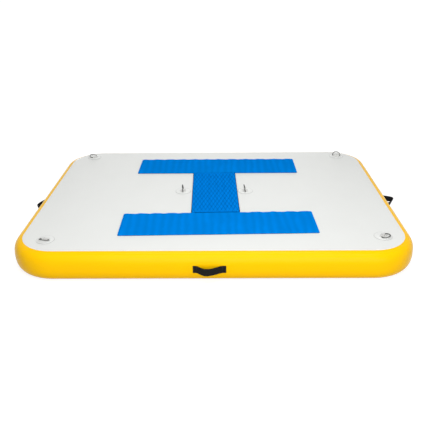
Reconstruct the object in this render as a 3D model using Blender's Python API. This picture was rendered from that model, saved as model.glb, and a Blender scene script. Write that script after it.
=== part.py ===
"""Inflatable dock platform.

A drop-stitch air platform: two coated sheets held a fixed distance apart by rows of yarn and closed by a bulged
side wall of two layers. It carries foam traction pads laid out as an H on its side, six steel D-rings in webbing
loops, a webbing handle on each side and a spring-loaded inflation valve in the rear wall.

Metres, +Z up. The origin is on the ground under the middle of the platform, +X runs along its length and the
front side, the one with the lengthwise handle nearest the viewer, faces -Y.
"""

import math

import bmesh
import bpy
from mathutils import Vector

# Platform
LENGTH = 2.000
WIDTH = 1.500
HEIGHT = 0.150
CORNER_RADIUS = 0.228
WALL_BULGE = 0.055
WALL_FULLNESS = 2.5
SHEET = 0.0012
SEAT_GAP = 0.0003
LAP_TILT_DEG = 5.0
WALL_LAP = 0.025
LINER_LAP = 0.035
CORNER_STEPS = 8
WALL_STEPS = 12
SHOULDER_STEPS = 2

# Drop-stitch yarn, far fewer rows and stitches than the cloth has
YARN_ROWS = 7
YARN_STITCHES = 9
YARN_WIDTH = 0.004
YARN_HALF_RISE = 0.005
YARN_MARGIN = 0.020

# Traction pads
PAD_THICKNESS = 0.005
PAD_CHAMFER = 0.0012
PAD_CORNER = 0.010
PAD_CORNER_STEPS = 4
BAR_LENGTH = 1.014
BAR_WIDTH = 0.252
REAR_BAR_INSET = 0.322
FRONT_BAR_INSET = 0.334
REAR_BAR_SHIFT = 0.016
FRONT_BAR_SHIFT = 0.026
FRONT_BAR_TURN_DEG = 1.3
CENTRE_PAD_GAP = 0.006
CENTRE_PAD_SHIFT = 0.004
DIAMOND_WIDTH = 0.0219
DIAMOND_COLUMNS = 12
DIAMOND_ROWS = 8
GROOVE_HALF_WIDTH = 0.0016
GROOVE_DEPTH = 0.0014
CENTRE_PAD_RIM = 0.004
CUT_TOLERANCE = 0.00001

# D-rings
RING_WIRE_RADIUS = 0.0025
RING_HALF_WIDTH = 0.0245
RING_DEPTH = 0.0350
RING_CORNER = 0.0055
RING_CORNER_STEPS = 3
RING_ARC_STEPS = 10
RING_PATCH_RADIUS = 0.045
RING_PATCH_COLLAR_RADIUS = 0.031
RING_PATCH_THICKNESS = 0.0010
RING_PATCH_COLLAR_RISE = 0.0008
RING_PATCH_EDGE = 0.0006
RING_PATCH_STEPS = 24
LOOP_HALF_WIDTH = 0.0190
LOOP_TAIL = 0.0150
LOOP_THICKNESS = 0.0014
LOOP_CLEARANCE = 0.0004
LOOP_STEPS = 6
CENTRE_RING_X = 0.183
CENTRE_RING_Y = 0.015
# name, side in X, side in Y, distance from the platform's end and from its side, heading of the ring's arc and its
# lift off the deck, both in degrees
CORNER_RINGS = (
    ("near_right", 1, -1, 0.159, 0.184, -33.0, 10.0),
    ("near_left", -1, -1, 0.174, 0.158, 251.0, 21.0),
    ("far_left", -1, 1, 0.168, 0.133, 147.0, 15.0),
    ("far_right", 1, 1, 0.172, 0.132, 82.0, 27.0),
)
# name, side in X, and the same two angles
CENTRE_RINGS = (
    ("centre_left", -1, 180.0, 84.0),
    ("centre_right", 1, 0.0, 104.0),
)

# Carry handles
STRAP_WIDTH = 0.0385
STRAP_THICKNESS = 0.0022
STRAP_SPAN = 0.158
STRAP_FOOT = 0.064
STRAP_FULLNESS = 0.70
STRAP_SWING_RISE = 0.0137
STRAP_STEPS = 18
STRAP_END_STEPS = 6
HANDLE_PATCH_HALF_LENGTH = 0.098
HANDLE_PATCH_HALF_HEIGHT = 0.029
HANDLE_PATCH_CORNER = 0.010
HANDLE_PATCH_THICKNESS = 0.0009
HANDLE_PATCH_STEPS = 3
# name, side in X, side in Y, turn about Z that brings +Y to face outward, shift along the wall, how far the strap
# bows out, and where along it the bow is highest
HANDLE_SIDES = (
    ("front", 0, -1, 180.0, 0.0135, 0.030, 0.016),
    ("rear", 0, 1, 0.0, 0.0, 0.036, 0.0),
    ("left", -1, 0, 90.0, 0.0, 0.033, -0.044),
    ("right", 1, 0, -90.0, -0.009, 0.059, -0.042),
)

# Inflation valve, measured outward from the outermost line of the wall
VALVE_INSET = 0.480
VALVE_STEPS = 24
BORE_RADIUS = 0.0130
BARREL_WALL = 0.0030
BARREL_PROUD = 0.0030
BARREL_DEPTH = 0.0220
FIT_CLEARANCE = 0.0003
FLANGE_RADIUS = 0.0270
FLANGE_DEPTH = 0.0070
FLANGE_THICKNESS = 0.0030
CLAMP_RADIUS = 0.0285
CLAMP_PROUD = 0.0026
CLAMP_ROOT_DEPTH = 0.0040
CLAMP_CHAMFER = 0.0016
SEAT_WEB_DEPTH = 0.0130
SEAT_WEB_THICKNESS = 0.0020
STEM_RADIUS = 0.0020
HUB_RADIUS = 0.0042
WINDOW_RADIUS = 0.0090
SPOKE_WIDTH = 0.0026
WINDOWS = 3
WINDOW_ARC_STEPS = 5
CUT_OVERRUN = 0.0010
POPPET_SEAL_RADIUS = 0.0115
POPPET_SEAL_THICKNESS = 0.0016
POPPET_DISC_RADIUS = 0.0105
POPPET_DISC_THICKNESS = 0.0018
BUTTON_RADIUS = 0.0065
BUTTON_DEPTH = 0.0025
BUTTON_THICKNESS = 0.0025
BUTTON_EDGE = 0.0006
SPRING_WIRE_RADIUS = 0.00045
SPRING_MEAN_RADIUS = 0.0032
SPRING_TURNS = 3.5
SPRING_POINTS_PER_TURN = 10
CAP_SKIRT_WALL = 0.0018
CAP_SKIRT_DEPTH = 0.0060
CAP_SEAL_THICKNESS = 0.0010
CAP_RADIUS = 0.0190
CAP_TOP = 0.0024
CAP_EDGE = 0.0008
GRIP_HALF_LENGTH = 0.0150
GRIP_HALF_WIDTH = 0.0026
GRIP_HEIGHT = 0.0045
GRIP_TAPER = 0.0010
GRIP_SINK = 0.0005

FLAT_HALF_X = LENGTH / 2 - WALL_BULGE
FLAT_HALF_Y = WIDTH / 2 - WALL_BULGE
FLAT_CORNER = CORNER_RADIUS - WALL_BULGE
WALL_HALF_HEIGHT = HEIGHT / 2 - SHEET - SEAT_GAP
REAR_BAR_Y = WIDTH / 2 - REAR_BAR_INSET
FRONT_BAR_Y = FRONT_BAR_INSET - WIDTH / 2
VALVE_X = VALVE_INSET - LENGTH / 2
MM_PER_M = 1000


def material(name, colour, roughness, metallic=0.0):
    """A Principled BSDF material of one colour."""
    made = bpy.data.materials.new(name)
    made.use_nodes = True
    shader = made.node_tree.nodes["Principled BSDF"]
    shader.inputs["Base Color"].default_value = (*colour, 1.0)
    shader.inputs["Roughness"].default_value = roughness
    shader.inputs["Metallic"].default_value = metallic
    made.diffuse_color = (*colour, 1.0)
    return made


def add_object(name, data, finish, parent=None):
    """Link an object of this mesh or curve, with its material, under an optional parent empty."""
    data.materials.append(finish)
    made = bpy.data.objects.new(name, data)
    bpy.context.collection.objects.link(made)
    made.parent = parent
    return made


def add_frame(name, location, turn_about_z=0.0, tip_about_x=0.0):
    """An empty that carries a group of pieces."""
    made = bpy.data.objects.new(name, None)
    made.location = location
    made.rotation_euler = (tip_about_x, 0.0, turn_about_z)
    bpy.context.collection.objects.link(made)
    return made


def finish_mesh(name, bm, smooth_deg):
    """Turn a bmesh into a mesh with outward faces, smooth but for its sharp edges."""
    bmesh.ops.recalc_face_normals(bm, faces=bm.faces)
    mesh = bpy.data.meshes.new(name)
    bm.to_mesh(mesh)
    bm.free()
    mesh.shade_smooth()
    mesh.set_sharp_from_angle(angle=math.radians(smooth_deg))
    return mesh


def loft(name, loops, ring=False, smooth_deg=35.0):
    """Skin a row of equal point loops. A ring closes on its first loop, anything else gets two end faces."""
    bm = bmesh.new()
    rows = [[bm.verts.new(point) for point in loop] for loop in loops]
    pairs = list(zip(rows, rows[1:]))
    if ring:
        pairs.append((rows[-1], rows[0]))
    else:
        bm.faces.new(rows[0])
        bm.faces.new(rows[-1])
    for low, high in pairs:
        for here in range(len(low)):
            after = (here + 1) % len(low)
            bm.faces.new((low[here], low[after], high[after], high[here]))
    return finish_mesh(name, bm, smooth_deg)


def turned(name, profile, steps, ring=False, smooth_deg=35.0):
    """Revolve (radius, height) points about Z. A ring profile is a closed loop clear of the axis."""
    angles = [2 * math.pi * step / steps for step in range(steps)]
    loops = [[(radius * math.cos(a), radius * math.sin(a), height) for a in angles] for radius, height in profile]
    return loft(name, loops, ring, smooth_deg)


def extruded(name, outline, half_length, smooth_deg=35.0):
    """Extrude a closed (x, y) outline both ways along Z."""
    ends = [[(x, y, side * half_length) for x, y in outline] for side in (-1, 1)]
    return loft(name, ends, smooth_deg=smooth_deg)


def boolean(target, tool, operation):
    """Cut or join with another object, which then only guides the model."""
    tool.hide_render = True
    tool.display_type = "WIRE"
    step = target.modifiers.new(tool.name, "BOOLEAN")
    step.object = tool
    step.operation = operation
    step.solver = "EXACT"


def rounded_rectangle(half_x, half_y, radius, steps):
    """Points of a rounded rectangle, counter-clockwise."""
    points = []
    for quarter, (side_x, side_y) in enumerate(((1, 1), (-1, 1), (-1, -1), (1, -1))):
        for step in range(steps + 1):
            angle = math.pi / 2 * (quarter + step / steps)
            x = side_x * (half_x - radius) + radius * math.cos(angle)
            y = side_y * (half_y - radius) + radius * math.sin(angle)
            points.append((x, y))
    return points


def plan_loop(offset, height):
    """The platform's outline at an offset outward from the edge of its flat top."""
    outline = rounded_rectangle(FLAT_HALF_X + offset, FLAT_HALF_Y + offset, FLAT_CORNER + offset, CORNER_STEPS)
    return [(x, y, height) for x, y in outline]


def wall_point(angle, proud):
    """Offset and height of the bulged wall's section, proud of the outer layer's face along its normal.

    The section is a superellipse. Angle runs from -90 degrees at the bottom to 90 at the top.
    """
    power = 2 / WALL_FULLNESS
    out_share = abs(math.cos(angle)) ** power
    up_share = abs(math.sin(angle)) ** power
    side = math.copysign(1.0, angle)
    normal = Vector((out_share ** (WALL_FULLNESS - 1) / WALL_BULGE, up_share ** (WALL_FULLNESS - 1) / WALL_HALF_HEIGHT))
    normal.normalize()
    offset = WALL_BULGE * out_share + proud * normal.x
    rise = WALL_HALF_HEIGHT * up_share + proud * normal.y
    return offset, HEIGHT / 2 + side * rise


def shoulder_angle(tilt):
    """The section angle at which the wall's face tilts this far from level."""
    ratio = math.tan(tilt) * WALL_BULGE / WALL_HALF_HEIGHT
    return math.pi / 2 - math.atan(ratio ** (WALL_FULLNESS / (2 * (WALL_FULLNESS - 1))))


def wall_angle_at(rise):
    """The section angle at which the wall stands this high above or below its middle."""
    share = abs(rise) / WALL_HALF_HEIGHT
    return math.copysign(math.asin(share ** (WALL_FULLNESS / 2)), rise)


def wall_arc(proud):
    """The bulged part of a wall layer's face, from top to bottom."""
    angles = [math.pi / 2 - math.pi * step / WALL_STEPS for step in range(WALL_STEPS + 1)]
    return [wall_point(angle, proud) for angle in angles]


def wall_face(proud, lap):
    """One face of a wall layer, from its upper lap under the deck sheet round to its lower lap."""
    top = HEIGHT / 2 + WALL_HALF_HEIGHT + proud
    return [(-lap, top)] + wall_arc(proud) + [(-lap, HEIGHT - top)]


def wall_layer(name, proud, lap, finish):
    """A side wall layer, one strip all the way round with a flange under each sheet."""
    section = wall_face(proud, lap) + wall_face(proud - SHEET, lap)[::-1]
    loops = [plan_loop(offset, height) for offset, height in section]
    return add_object(name, loft(name, loops, ring=True), finish)


def face_sheet(name, side, finish):
    """The deck sheet or the bottom sheet: flat, with its edge glued down over the wall's shoulder."""
    lap_angle = shoulder_angle(math.radians(LAP_TILT_DEG))
    angles = [math.pi / 2 + (lap_angle - math.pi / 2) * step / SHOULDER_STEPS for step in range(SHOULDER_STEPS + 1)]
    outer = [wall_point(angle, SEAT_GAP + SHEET) for angle in angles]
    inner = [wall_point(angle, SEAT_GAP) for angle in reversed(angles)]
    loops = [plan_loop(offset, HEIGHT / 2 + side * (height - HEIGHT / 2)) for offset, height in outer + inner]
    return add_object(name, loft(name, loops), finish)


def stitched_half_length(y):
    """Half the length of the stitched field at this distance from the middle, inside the liner's laps."""
    corner = FLAT_CORNER - LINER_LAP
    into_corner = max(0.0, abs(y) - (FLAT_HALF_Y - FLAT_CORNER))
    return FLAT_HALF_X - FLAT_CORNER + math.sqrt(corner**2 - into_corner**2) - YARN_MARGIN


def yarn_row(name, y, finish):
    """One row of drop-stitch yarn, a zigzag between the two sheets."""
    half_run = stitched_half_length(y)
    reach = WALL_HALF_HEIGHT + SEAT_GAP - FIT_CLEARANCE - YARN_HALF_RISE
    ends = 2 * YARN_STITCHES + 1
    middle = [(-half_run + 2 * half_run * k / (ends - 1), reach * (-1) ** k) for k in range(ends)]
    outline = [(x, rise + YARN_HALF_RISE) for x, rise in middle]
    outline += [(x, rise - YARN_HALF_RISE) for x, rise in reversed(middle)]
    made = add_object(name, extruded(name, outline, YARN_WIDTH / 2, smooth_deg=10.0), finish)
    made.location = (0.0, y, HEIGHT / 2)
    made.rotation_euler = (math.pi / 2, 0.0, 0.0)
    return made


def traction_bar(name, x, y, turn_deg, finish):
    """A long foam pad with chamfered upper edges."""
    half_x = BAR_LENGTH / 2
    half_y = BAR_WIDTH / 2
    outer = rounded_rectangle(half_x, half_y, PAD_CORNER, PAD_CORNER_STEPS)
    inner = rounded_rectangle(half_x - PAD_CHAMFER, half_y - PAD_CHAMFER, PAD_CORNER - PAD_CHAMFER, PAD_CORNER_STEPS)
    loops = [
        [(x, y, 0.0) for x, y in outer],
        [(x, y, PAD_THICKNESS - PAD_CHAMFER) for x, y in outer],
        [(x, y, PAD_THICKNESS) for x, y in inner],
    ]
    made = add_object(name, loft(name, loops), finish)
    made.location = (x, y, HEIGHT + SEAT_GAP)
    made.rotation_euler = (0.0, 0.0, math.radians(turn_deg))
    return made


def diamond_pad(name, finish):
    """The centre pad. Crossing grooves leave raised diamonds, each inset and lifted from the groove floor."""
    half_y = (REAR_BAR_Y - FRONT_BAR_Y - BAR_WIDTH) / 2 - CENTRE_PAD_GAP
    half_x = DIAMOND_WIDTH * DIAMOND_COLUMNS / 2
    diamond_length = 2 * (half_y - CENTRE_PAD_RIM) / DIAMOND_ROWS
    field_x = half_x - CENTRE_PAD_RIM
    field_width = 2 * field_x / DIAMOND_COLUMNS
    floor = PAD_THICKNESS - GROOVE_DEPTH
    bm = bmesh.new()
    corners = ((-half_x, -half_y), (half_x, -half_y), (half_x, half_y), (-half_x, half_y))
    base = bm.faces.new([bm.verts.new((x, y, 0.0)) for x, y in corners])
    top = bmesh.ops.extrude_face_region(bm, geom=[base])
    lifted = [item for item in top["geom"] if isinstance(item, bmesh.types.BMVert)]
    bmesh.ops.translate(bm, verts=lifted, vec=(0.0, 0.0, floor))
    upper = next(item for item in top["geom"] if isinstance(item, bmesh.types.BMFace))
    bmesh.ops.inset_region(bm, faces=[upper], thickness=CENTRE_PAD_RIM)
    field = [upper]
    reach = (DIAMOND_COLUMNS + DIAMOND_ROWS) // 2
    for lean in (-1, 1):
        normal = Vector((1 / field_width, lean / diamond_length, 0.0)).normalized()
        for line in range(1 - reach, reach):
            start = Vector((line * field_width, 0.0, floor))
            edges = {edge for face in field for edge in face.edges}
            verts = {vert for face in field for vert in face.verts}
            pieces = field + list(edges) + list(verts)
            cut = bmesh.ops.bisect_plane(bm, geom=pieces, dist=CUT_TOLERANCE, plane_co=start, plane_no=normal)
            field = [item for item in cut["geom"] if isinstance(item, bmesh.types.BMFace)]
    bmesh.ops.inset_individual(bm, faces=field, thickness=GROOVE_HALF_WIDTH, depth=GROOVE_DEPTH)
    made = add_object(name, finish_mesh(name, bm, 10.0), finish)
    made.location = (CENTRE_PAD_SHIFT, (REAR_BAR_Y + FRONT_BAR_Y) / 2, HEIGHT + SEAT_GAP)
    return made


def ring_path():
    """Middle line of a D-ring: straight bar on the Y axis through the origin, arc towards +X."""
    inner = RING_HALF_WIDTH - RING_CORNER
    points = []
    for step in range(RING_CORNER_STEPS + 1):
        angle = math.pi / 2 * step / RING_CORNER_STEPS
        points.append((RING_CORNER * (1 - math.cos(angle)), inner + RING_CORNER * math.sin(angle)))
    for step in range(1, RING_ARC_STEPS):
        angle = math.pi * step / RING_ARC_STEPS
        points.append((RING_CORNER + (RING_DEPTH - RING_CORNER) * math.sin(angle), RING_HALF_WIDTH * math.cos(angle)))
    for step in range(RING_CORNER_STEPS + 1):
        angle = math.pi / 2 * (1 - step / RING_CORNER_STEPS)
        points.append((RING_CORNER * (1 - math.cos(angle)), -inner - RING_CORNER * math.sin(angle)))
    return points


def wire(name, points, radius, sides_step, cyclic):
    """A round wire along a row of points."""
    curve = bpy.data.curves.new(name, "CURVE")
    curve.dimensions = "3D"
    curve.bevel_depth = radius
    curve.bevel_resolution = sides_step
    curve.use_fill_caps = True
    spline = curve.splines.new("POLY")
    spline.points.add(len(points) - 1)
    for slot, point in zip(spline.points, points):
        slot.co = (*point, 1.0)
    spline.use_cyclic_u = cyclic
    return curve


def loop_outline(bar_height, patch_top):
    """Section of the webbing loop over a ring's bar, with a tail glued down on each side."""
    low = patch_top + SEAT_GAP
    inner = RING_WIRE_RADIUS + LOOP_CLEARANCE
    outer = inner + LOOP_THICKNESS
    angles = [math.pi * step / LOOP_STEPS for step in range(LOOP_STEPS + 1)]
    over = [(outer * math.cos(a), bar_height + outer * math.sin(a)) for a in angles]
    under = [(inner * math.cos(a), bar_height + inner * math.sin(a)) for a in reversed(angles)]
    right = [(inner, low), (LOOP_TAIL, low), (LOOP_TAIL, low + LOOP_THICKNESS), (outer, low + LOOP_THICKNESS)]
    left = [(-x, height) for x, height in reversed(right)]
    return right + over + left + under


def ring_set(name, x, y, heading, lift, finishes):
    """A D-ring with its round patch and the webbing loop that holds its bar."""
    frame = add_frame("d_ring_frame_" + name, (x, y, HEIGHT + SEAT_GAP), math.radians(heading))
    collar = RING_PATCH_THICKNESS + RING_PATCH_COLLAR_RISE
    patch = (
        (RING_PATCH_RADIUS, 0.0),
        (RING_PATCH_RADIUS - RING_PATCH_EDGE, RING_PATCH_THICKNESS),
        (RING_PATCH_COLLAR_RADIUS, RING_PATCH_THICKNESS),
        (RING_PATCH_COLLAR_RADIUS - RING_PATCH_EDGE, collar),
    )
    patch_name = "d_ring_patch_" + name
    add_object(patch_name, turned(patch_name, patch, RING_PATCH_STEPS), finishes["deck"], frame)
    bar_height = collar + SEAT_GAP + RING_WIRE_RADIUS
    loop_name = "d_ring_loop_" + name
    outline = loop_outline(bar_height, collar)
    loop = add_object(loop_name, extruded(loop_name, outline, LOOP_HALF_WIDTH), finishes["loop"], frame)
    loop.rotation_euler = (math.pi / 2, 0.0, 0.0)
    ring_name = "d_ring_" + name
    path = [(x, y, 0.0) for x, y in ring_path()]
    ring = add_object(ring_name, wire(ring_name, path, RING_WIRE_RADIUS, 2, True), finishes["steel"], frame)
    ring.location = (0.0, 0.0, bar_height)
    ring.rotation_euler = (0.0, -math.radians(lift), 0.0)


def strap_height(s, bow, apex):
    """Distance of the strap's middle line from the wall, s along it from the handle's middle."""
    tab = 2 * SEAT_GAP + HANDLE_PATCH_THICKNESS + STRAP_THICKNESS / 2
    if abs(s) >= STRAP_FOOT:
        return tab
    share = (s - apex) / (STRAP_FOOT - apex) if s > apex else (apex - s) / (STRAP_FOOT + apex)
    return tab + bow * ((1 + math.cos(math.pi * share)) / 2) ** STRAP_FULLNESS


def swing_places(bow, apex):
    """Where the strap, on each side of its bow, rises off its glued ends as far as its swing axis."""
    hump = (STRAP_SWING_RISE / bow) ** (1 / STRAP_FULLNESS)
    share = math.acos(2 * hump - 1) / math.pi
    return apex - share * (STRAP_FOOT + apex), apex + share * (STRAP_FOOT - apex)


def strap_outline(places, bow, apex):
    """Outline of a stretch of strap seen along its width, of even thickness and square ends."""
    probe = STRAP_THICKNESS / 10
    outer = []
    inner = []
    for s in places:
        slope = (strap_height(s + probe, bow, apex) - strap_height(s - probe, bow, apex)) / (2 * probe)
        half = STRAP_THICKNESS / 2 * math.hypot(1.0, slope)
        outer.append((s, strap_height(s, bow, apex) + half))
        inner.append((s, strap_height(s, bow, apex) - half))
    return outer + inner[::-1]


def between(start, end, steps):
    """Evenly spaced places from start to end."""
    return [start + (end - start) * step / steps for step in range(steps + 1)]


def handle_set(station, finishes):
    """A webbing handle: patch on the wall, two glued ends and the bowed grip that swings between them."""
    name, side_x, side_y, turn, shift, bow, apex = station
    turned_by = math.radians(turn)
    x = side_x * LENGTH / 2 + shift * math.cos(turned_by)
    y = side_y * WIDTH / 2 + shift * math.sin(turned_by)
    frame = add_frame("handle_frame_" + name, (x, y, HEIGHT / 2), turned_by)
    patch_name = "handle_patch_" + name
    add_object(patch_name, wall_patch(patch_name), finishes["wall"], frame)
    low, high = swing_places(bow, apex)
    grip_places = between(low + SEAT_GAP, apex, STRAP_STEPS // 2)[:-1]
    grip_places += between(apex, high - SEAT_GAP, STRAP_STEPS // 2)
    grip_name = "handle_grip_" + name
    axis = strap_height(high, bow, apex)
    outline = [(s, out - axis) for s, out in strap_outline(grip_places, bow, apex)]
    grip = add_object(grip_name, extruded(grip_name, outline, STRAP_WIDTH / 2), finishes["webbing"], frame)
    grip.location = (0.0, axis, 0.0)
    for side, swing, label in ((-1, low, "_a"), (1, high, "_b")):
        places = between(swing, side * STRAP_FOOT, STRAP_END_STEPS) + [side * STRAP_SPAN / 2]
        end_name = "handle_end_" + name + label
        end = extruded(end_name, strap_outline(places, bow, apex), STRAP_WIDTH / 2)
        add_object(end_name, end, finishes["webbing"], frame)


def wall_patch(name):
    """A thin patch that follows the wall's bulge, its corners rounded, seen from the wall's middle line."""
    straight = HANDLE_PATCH_HALF_HEIGHT - HANDLE_PATCH_CORNER
    rows = []
    for step in range(HANDLE_PATCH_STEPS + 1):
        angle = math.pi / 2 * (1 - step / HANDLE_PATCH_STEPS)
        inward = HANDLE_PATCH_CORNER * (1 - math.cos(angle))
        rows.append((straight + HANDLE_PATCH_CORNER * math.sin(angle), HANDLE_PATCH_HALF_LENGTH - inward))
    rows += [(height, HANDLE_PATCH_HALF_LENGTH) for height in between(straight / 2, -straight / 2, 2)]
    rows += [(-height, half) for height, half in reversed(rows[: HANDLE_PATCH_STEPS + 1])]
    loops = []
    for height, half in rows:
        angle = wall_angle_at(height) if height else 0.0
        inner, inner_height = wall_point(angle, SEAT_GAP)
        outer, outer_height = wall_point(angle, SEAT_GAP + HANDLE_PATCH_THICKNESS)
        corners = ((-half, inner, inner_height), (half, inner, inner_height))
        corners += ((half, outer, outer_height), (-half, outer, outer_height))
        loops.append([(x, offset - WALL_BULGE, z - HEIGHT / 2) for x, offset, z in corners])
    return loft(name, loops, smooth_deg=30.0)


def wall_backing(name, proud, parent):
    """Everything inside a face of the wall beside the valve, as a guide for the pieces clamped on it."""
    points = [(HEIGHT / 2 - z, offset - WALL_BULGE) for offset, z in wall_arc(proud)]
    ends = [[(s * (CLAMP_RADIUS + CUT_OVERRUN), y, z) for y, z in points] for s in (-1, 1)]
    made = bpy.data.objects.new(name, loft(name, ends))
    bpy.context.collection.objects.link(made)
    made.parent = parent
    return made


def window_cutter(name, index, parent):
    """One of the openings between the spokes of the valve's seat web."""
    middle = 2 * math.pi * index / WINDOWS
    outline = []
    for radius, order in ((WINDOW_RADIUS, 1), (HUB_RADIUS, -1)):
        half = math.pi / WINDOWS - math.asin(SPOKE_WIDTH / 2 / radius)
        for angle in between(middle - order * half, middle + order * half, WINDOW_ARC_STEPS):
            outline.append((radius * math.cos(angle), radius * math.sin(angle)))
    made = bpy.data.objects.new(name, extruded(name, outline, SEAT_WEB_THICKNESS / 2 + CUT_OVERRUN))
    bpy.context.collection.objects.link(made)
    made.parent = parent
    made.location = (0.0, 0.0, -SEAT_WEB_DEPTH - SEAT_WEB_THICKNESS / 2)
    return made


def valve_body(frame, finishes):
    """Barrel with its inside flange, and a spoked web that seats the poppet and guides its stem."""
    barrel = BORE_RADIUS + BARREL_WALL
    web_low = -SEAT_WEB_DEPTH - SEAT_WEB_THICKNESS
    stem_bore = STEM_RADIUS + FIT_CLEARANCE
    profile = (
        (BORE_RADIUS, BARREL_PROUD),
        (barrel, BARREL_PROUD),
        (barrel, -FLANGE_DEPTH),
        (FLANGE_RADIUS, -FLANGE_DEPTH),
        (FLANGE_RADIUS, -FLANGE_DEPTH - FLANGE_THICKNESS),
        (barrel, -FLANGE_DEPTH - FLANGE_THICKNESS),
        (barrel, -BARREL_DEPTH),
        (BORE_RADIUS, -BARREL_DEPTH),
        (BORE_RADIUS, web_low),
        (stem_bore, web_low),
        (stem_bore, -SEAT_WEB_DEPTH),
        (BORE_RADIUS, -SEAT_WEB_DEPTH),
    )
    mesh = turned("valve_body", profile, VALVE_STEPS, ring=True)
    body = add_object("valve_body", mesh, finishes["plastic"], frame)
    for index in range(WINDOWS):
        boolean(body, window_cutter(f"valve_window_{index}", index, frame), "DIFFERENCE")


def valve_clamp(frame, finishes):
    """Outer ring that clamps the wall, and the gasket on its inner side, both shaped to the wall."""
    inner = BORE_RADIUS + BARREL_WALL + FIT_CLEARANCE
    ring = (
        (inner, -CLAMP_ROOT_DEPTH),
        (CLAMP_RADIUS, -CLAMP_ROOT_DEPTH),
        (CLAMP_RADIUS, CLAMP_PROUD - CLAMP_CHAMFER),
        (CLAMP_RADIUS - CLAMP_CHAMFER, CLAMP_PROUD),
        (inner, CLAMP_PROUD),
    )
    mesh = turned("valve_clamp_ring", ring, VALVE_STEPS, ring=True)
    clamp = add_object("valve_clamp_ring", mesh, finishes["plastic"], frame)
    boolean(clamp, wall_backing("wall_outside", SEAT_GAP, frame), "DIFFERENCE")
    gasket = (
        (inner, -FLANGE_DEPTH + SEAT_GAP),
        (FLANGE_RADIUS, -FLANGE_DEPTH + SEAT_GAP),
        (FLANGE_RADIUS, CUT_OVERRUN),
        (inner, CUT_OVERRUN),
    )
    mesh = turned("valve_gasket", gasket, VALVE_STEPS, ring=True)
    seal = add_object("valve_gasket", mesh, finishes["rubber"], frame)
    boolean(seal, wall_backing("wall_inside", -2 * SHEET - 2 * SEAT_GAP, frame), "INTERSECT")


def valve_poppet(frame, finishes):
    """Sprung poppet: disc and rubber seal below the web, stem through it, push button and spring above."""
    seal_top = -SEAT_WEB_DEPTH - SEAT_WEB_THICKNESS - SEAT_GAP
    disc_top = seal_top - POPPET_SEAL_THICKNESS - SEAT_GAP
    button_low = -BUTTON_DEPTH - BUTTON_THICKNESS
    profile = (
        (POPPET_DISC_RADIUS, disc_top - POPPET_DISC_THICKNESS),
        (POPPET_DISC_RADIUS, disc_top),
        (STEM_RADIUS, disc_top),
        (STEM_RADIUS, button_low),
        (BUTTON_RADIUS, button_low),
        (BUTTON_RADIUS, -BUTTON_DEPTH - BUTTON_EDGE),
        (BUTTON_RADIUS - BUTTON_EDGE, -BUTTON_DEPTH),
    )
    add_object("valve_poppet", turned("valve_poppet", profile, VALVE_STEPS), finishes["plastic"], frame)
    washer = (
        (STEM_RADIUS + FIT_CLEARANCE, seal_top - POPPET_SEAL_THICKNESS),
        (POPPET_SEAL_RADIUS, seal_top - POPPET_SEAL_THICKNESS),
        (POPPET_SEAL_RADIUS, seal_top),
        (STEM_RADIUS + FIT_CLEARANCE, seal_top),
    )
    mesh = turned("valve_poppet_seal", washer, VALVE_STEPS, ring=True)
    add_object("valve_poppet_seal", mesh, finishes["rubber"], frame)
    low = -SEAT_WEB_DEPTH + SEAT_GAP + SPRING_WIRE_RADIUS
    high = button_low - SEAT_GAP - SPRING_WIRE_RADIUS
    points = []
    for step in range(int(SPRING_TURNS * SPRING_POINTS_PER_TURN) + 1):
        share = step / (SPRING_TURNS * SPRING_POINTS_PER_TURN)
        angle = 2 * math.pi * SPRING_TURNS * share
        around = (SPRING_MEAN_RADIUS * math.cos(angle), SPRING_MEAN_RADIUS * math.sin(angle))
        points.append((*around, low + (high - low) * share))
    add_object("valve_spring", wire("valve_spring", points, SPRING_WIRE_RADIUS, 1, False), finishes["steel"], frame)
    print_least_gap(points)


def print_least_gap(points):
    """Print the least clear gap between one turn of the spring and the next."""
    neighbours = SPRING_POINTS_PER_TURN // 2
    gap = min(
        (Vector(points[i]) - Vector(points[j])).length - 2 * SPRING_WIRE_RADIUS
        for i in range(len(points))
        for j in range(i + neighbours, len(points))
    )
    print(f"least gap in the valve spring: {gap * MM_PER_M:.2f} mm")


def valve_cap(frame, finishes):
    """Plug cap with a grip bar, and the flat seal that sits on its skirt and travels with it."""
    seal_low = BARREL_PROUD + SEAT_GAP
    under = seal_low + CAP_SEAL_THICKNESS + SEAT_GAP
    skirt = BORE_RADIUS - FIT_CLEARANCE
    seal = (
        (skirt + FIT_CLEARANCE, seal_low),
        (BORE_RADIUS + BARREL_WALL, seal_low),
        (BORE_RADIUS + BARREL_WALL, seal_low + CAP_SEAL_THICKNESS),
        (skirt + FIT_CLEARANCE, seal_low + CAP_SEAL_THICKNESS),
    )
    mesh = turned("valve_cap_seal", seal, VALVE_STEPS, ring=True)
    add_object("valve_cap_seal", mesh, finishes["rubber"], frame)
    profile = (
        (CAP_RADIUS - CAP_EDGE, under + CAP_TOP),
        (CAP_RADIUS, under + CAP_TOP - CAP_EDGE),
        (CAP_RADIUS, under),
        (skirt, under),
        (skirt, -CAP_SKIRT_DEPTH),
        (skirt - CAP_SKIRT_WALL, -CAP_SKIRT_DEPTH),
        (skirt - CAP_SKIRT_WALL, under),
    )
    cap = add_object("valve_cap", turned("valve_cap", profile, VALVE_STEPS), finishes["plastic"], frame)
    top = under + CAP_TOP
    grip_loops = []
    for height, inward in ((top - GRIP_SINK, 0.0), (top + GRIP_HEIGHT, GRIP_TAPER)):
        half_x = GRIP_HALF_LENGTH - inward
        half_y = GRIP_HALF_WIDTH - inward
        grip_loops.append([(-half_x, -half_y, height), (half_x, -half_y, height)])
        grip_loops[-1] += [(half_x, half_y, height), (-half_x, half_y, height)]
    grip = bpy.data.objects.new("cap_grip", loft("cap_grip", grip_loops))
    bpy.context.collection.objects.link(grip)
    grip.parent = frame
    boolean(cap, grip, "UNION")


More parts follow.
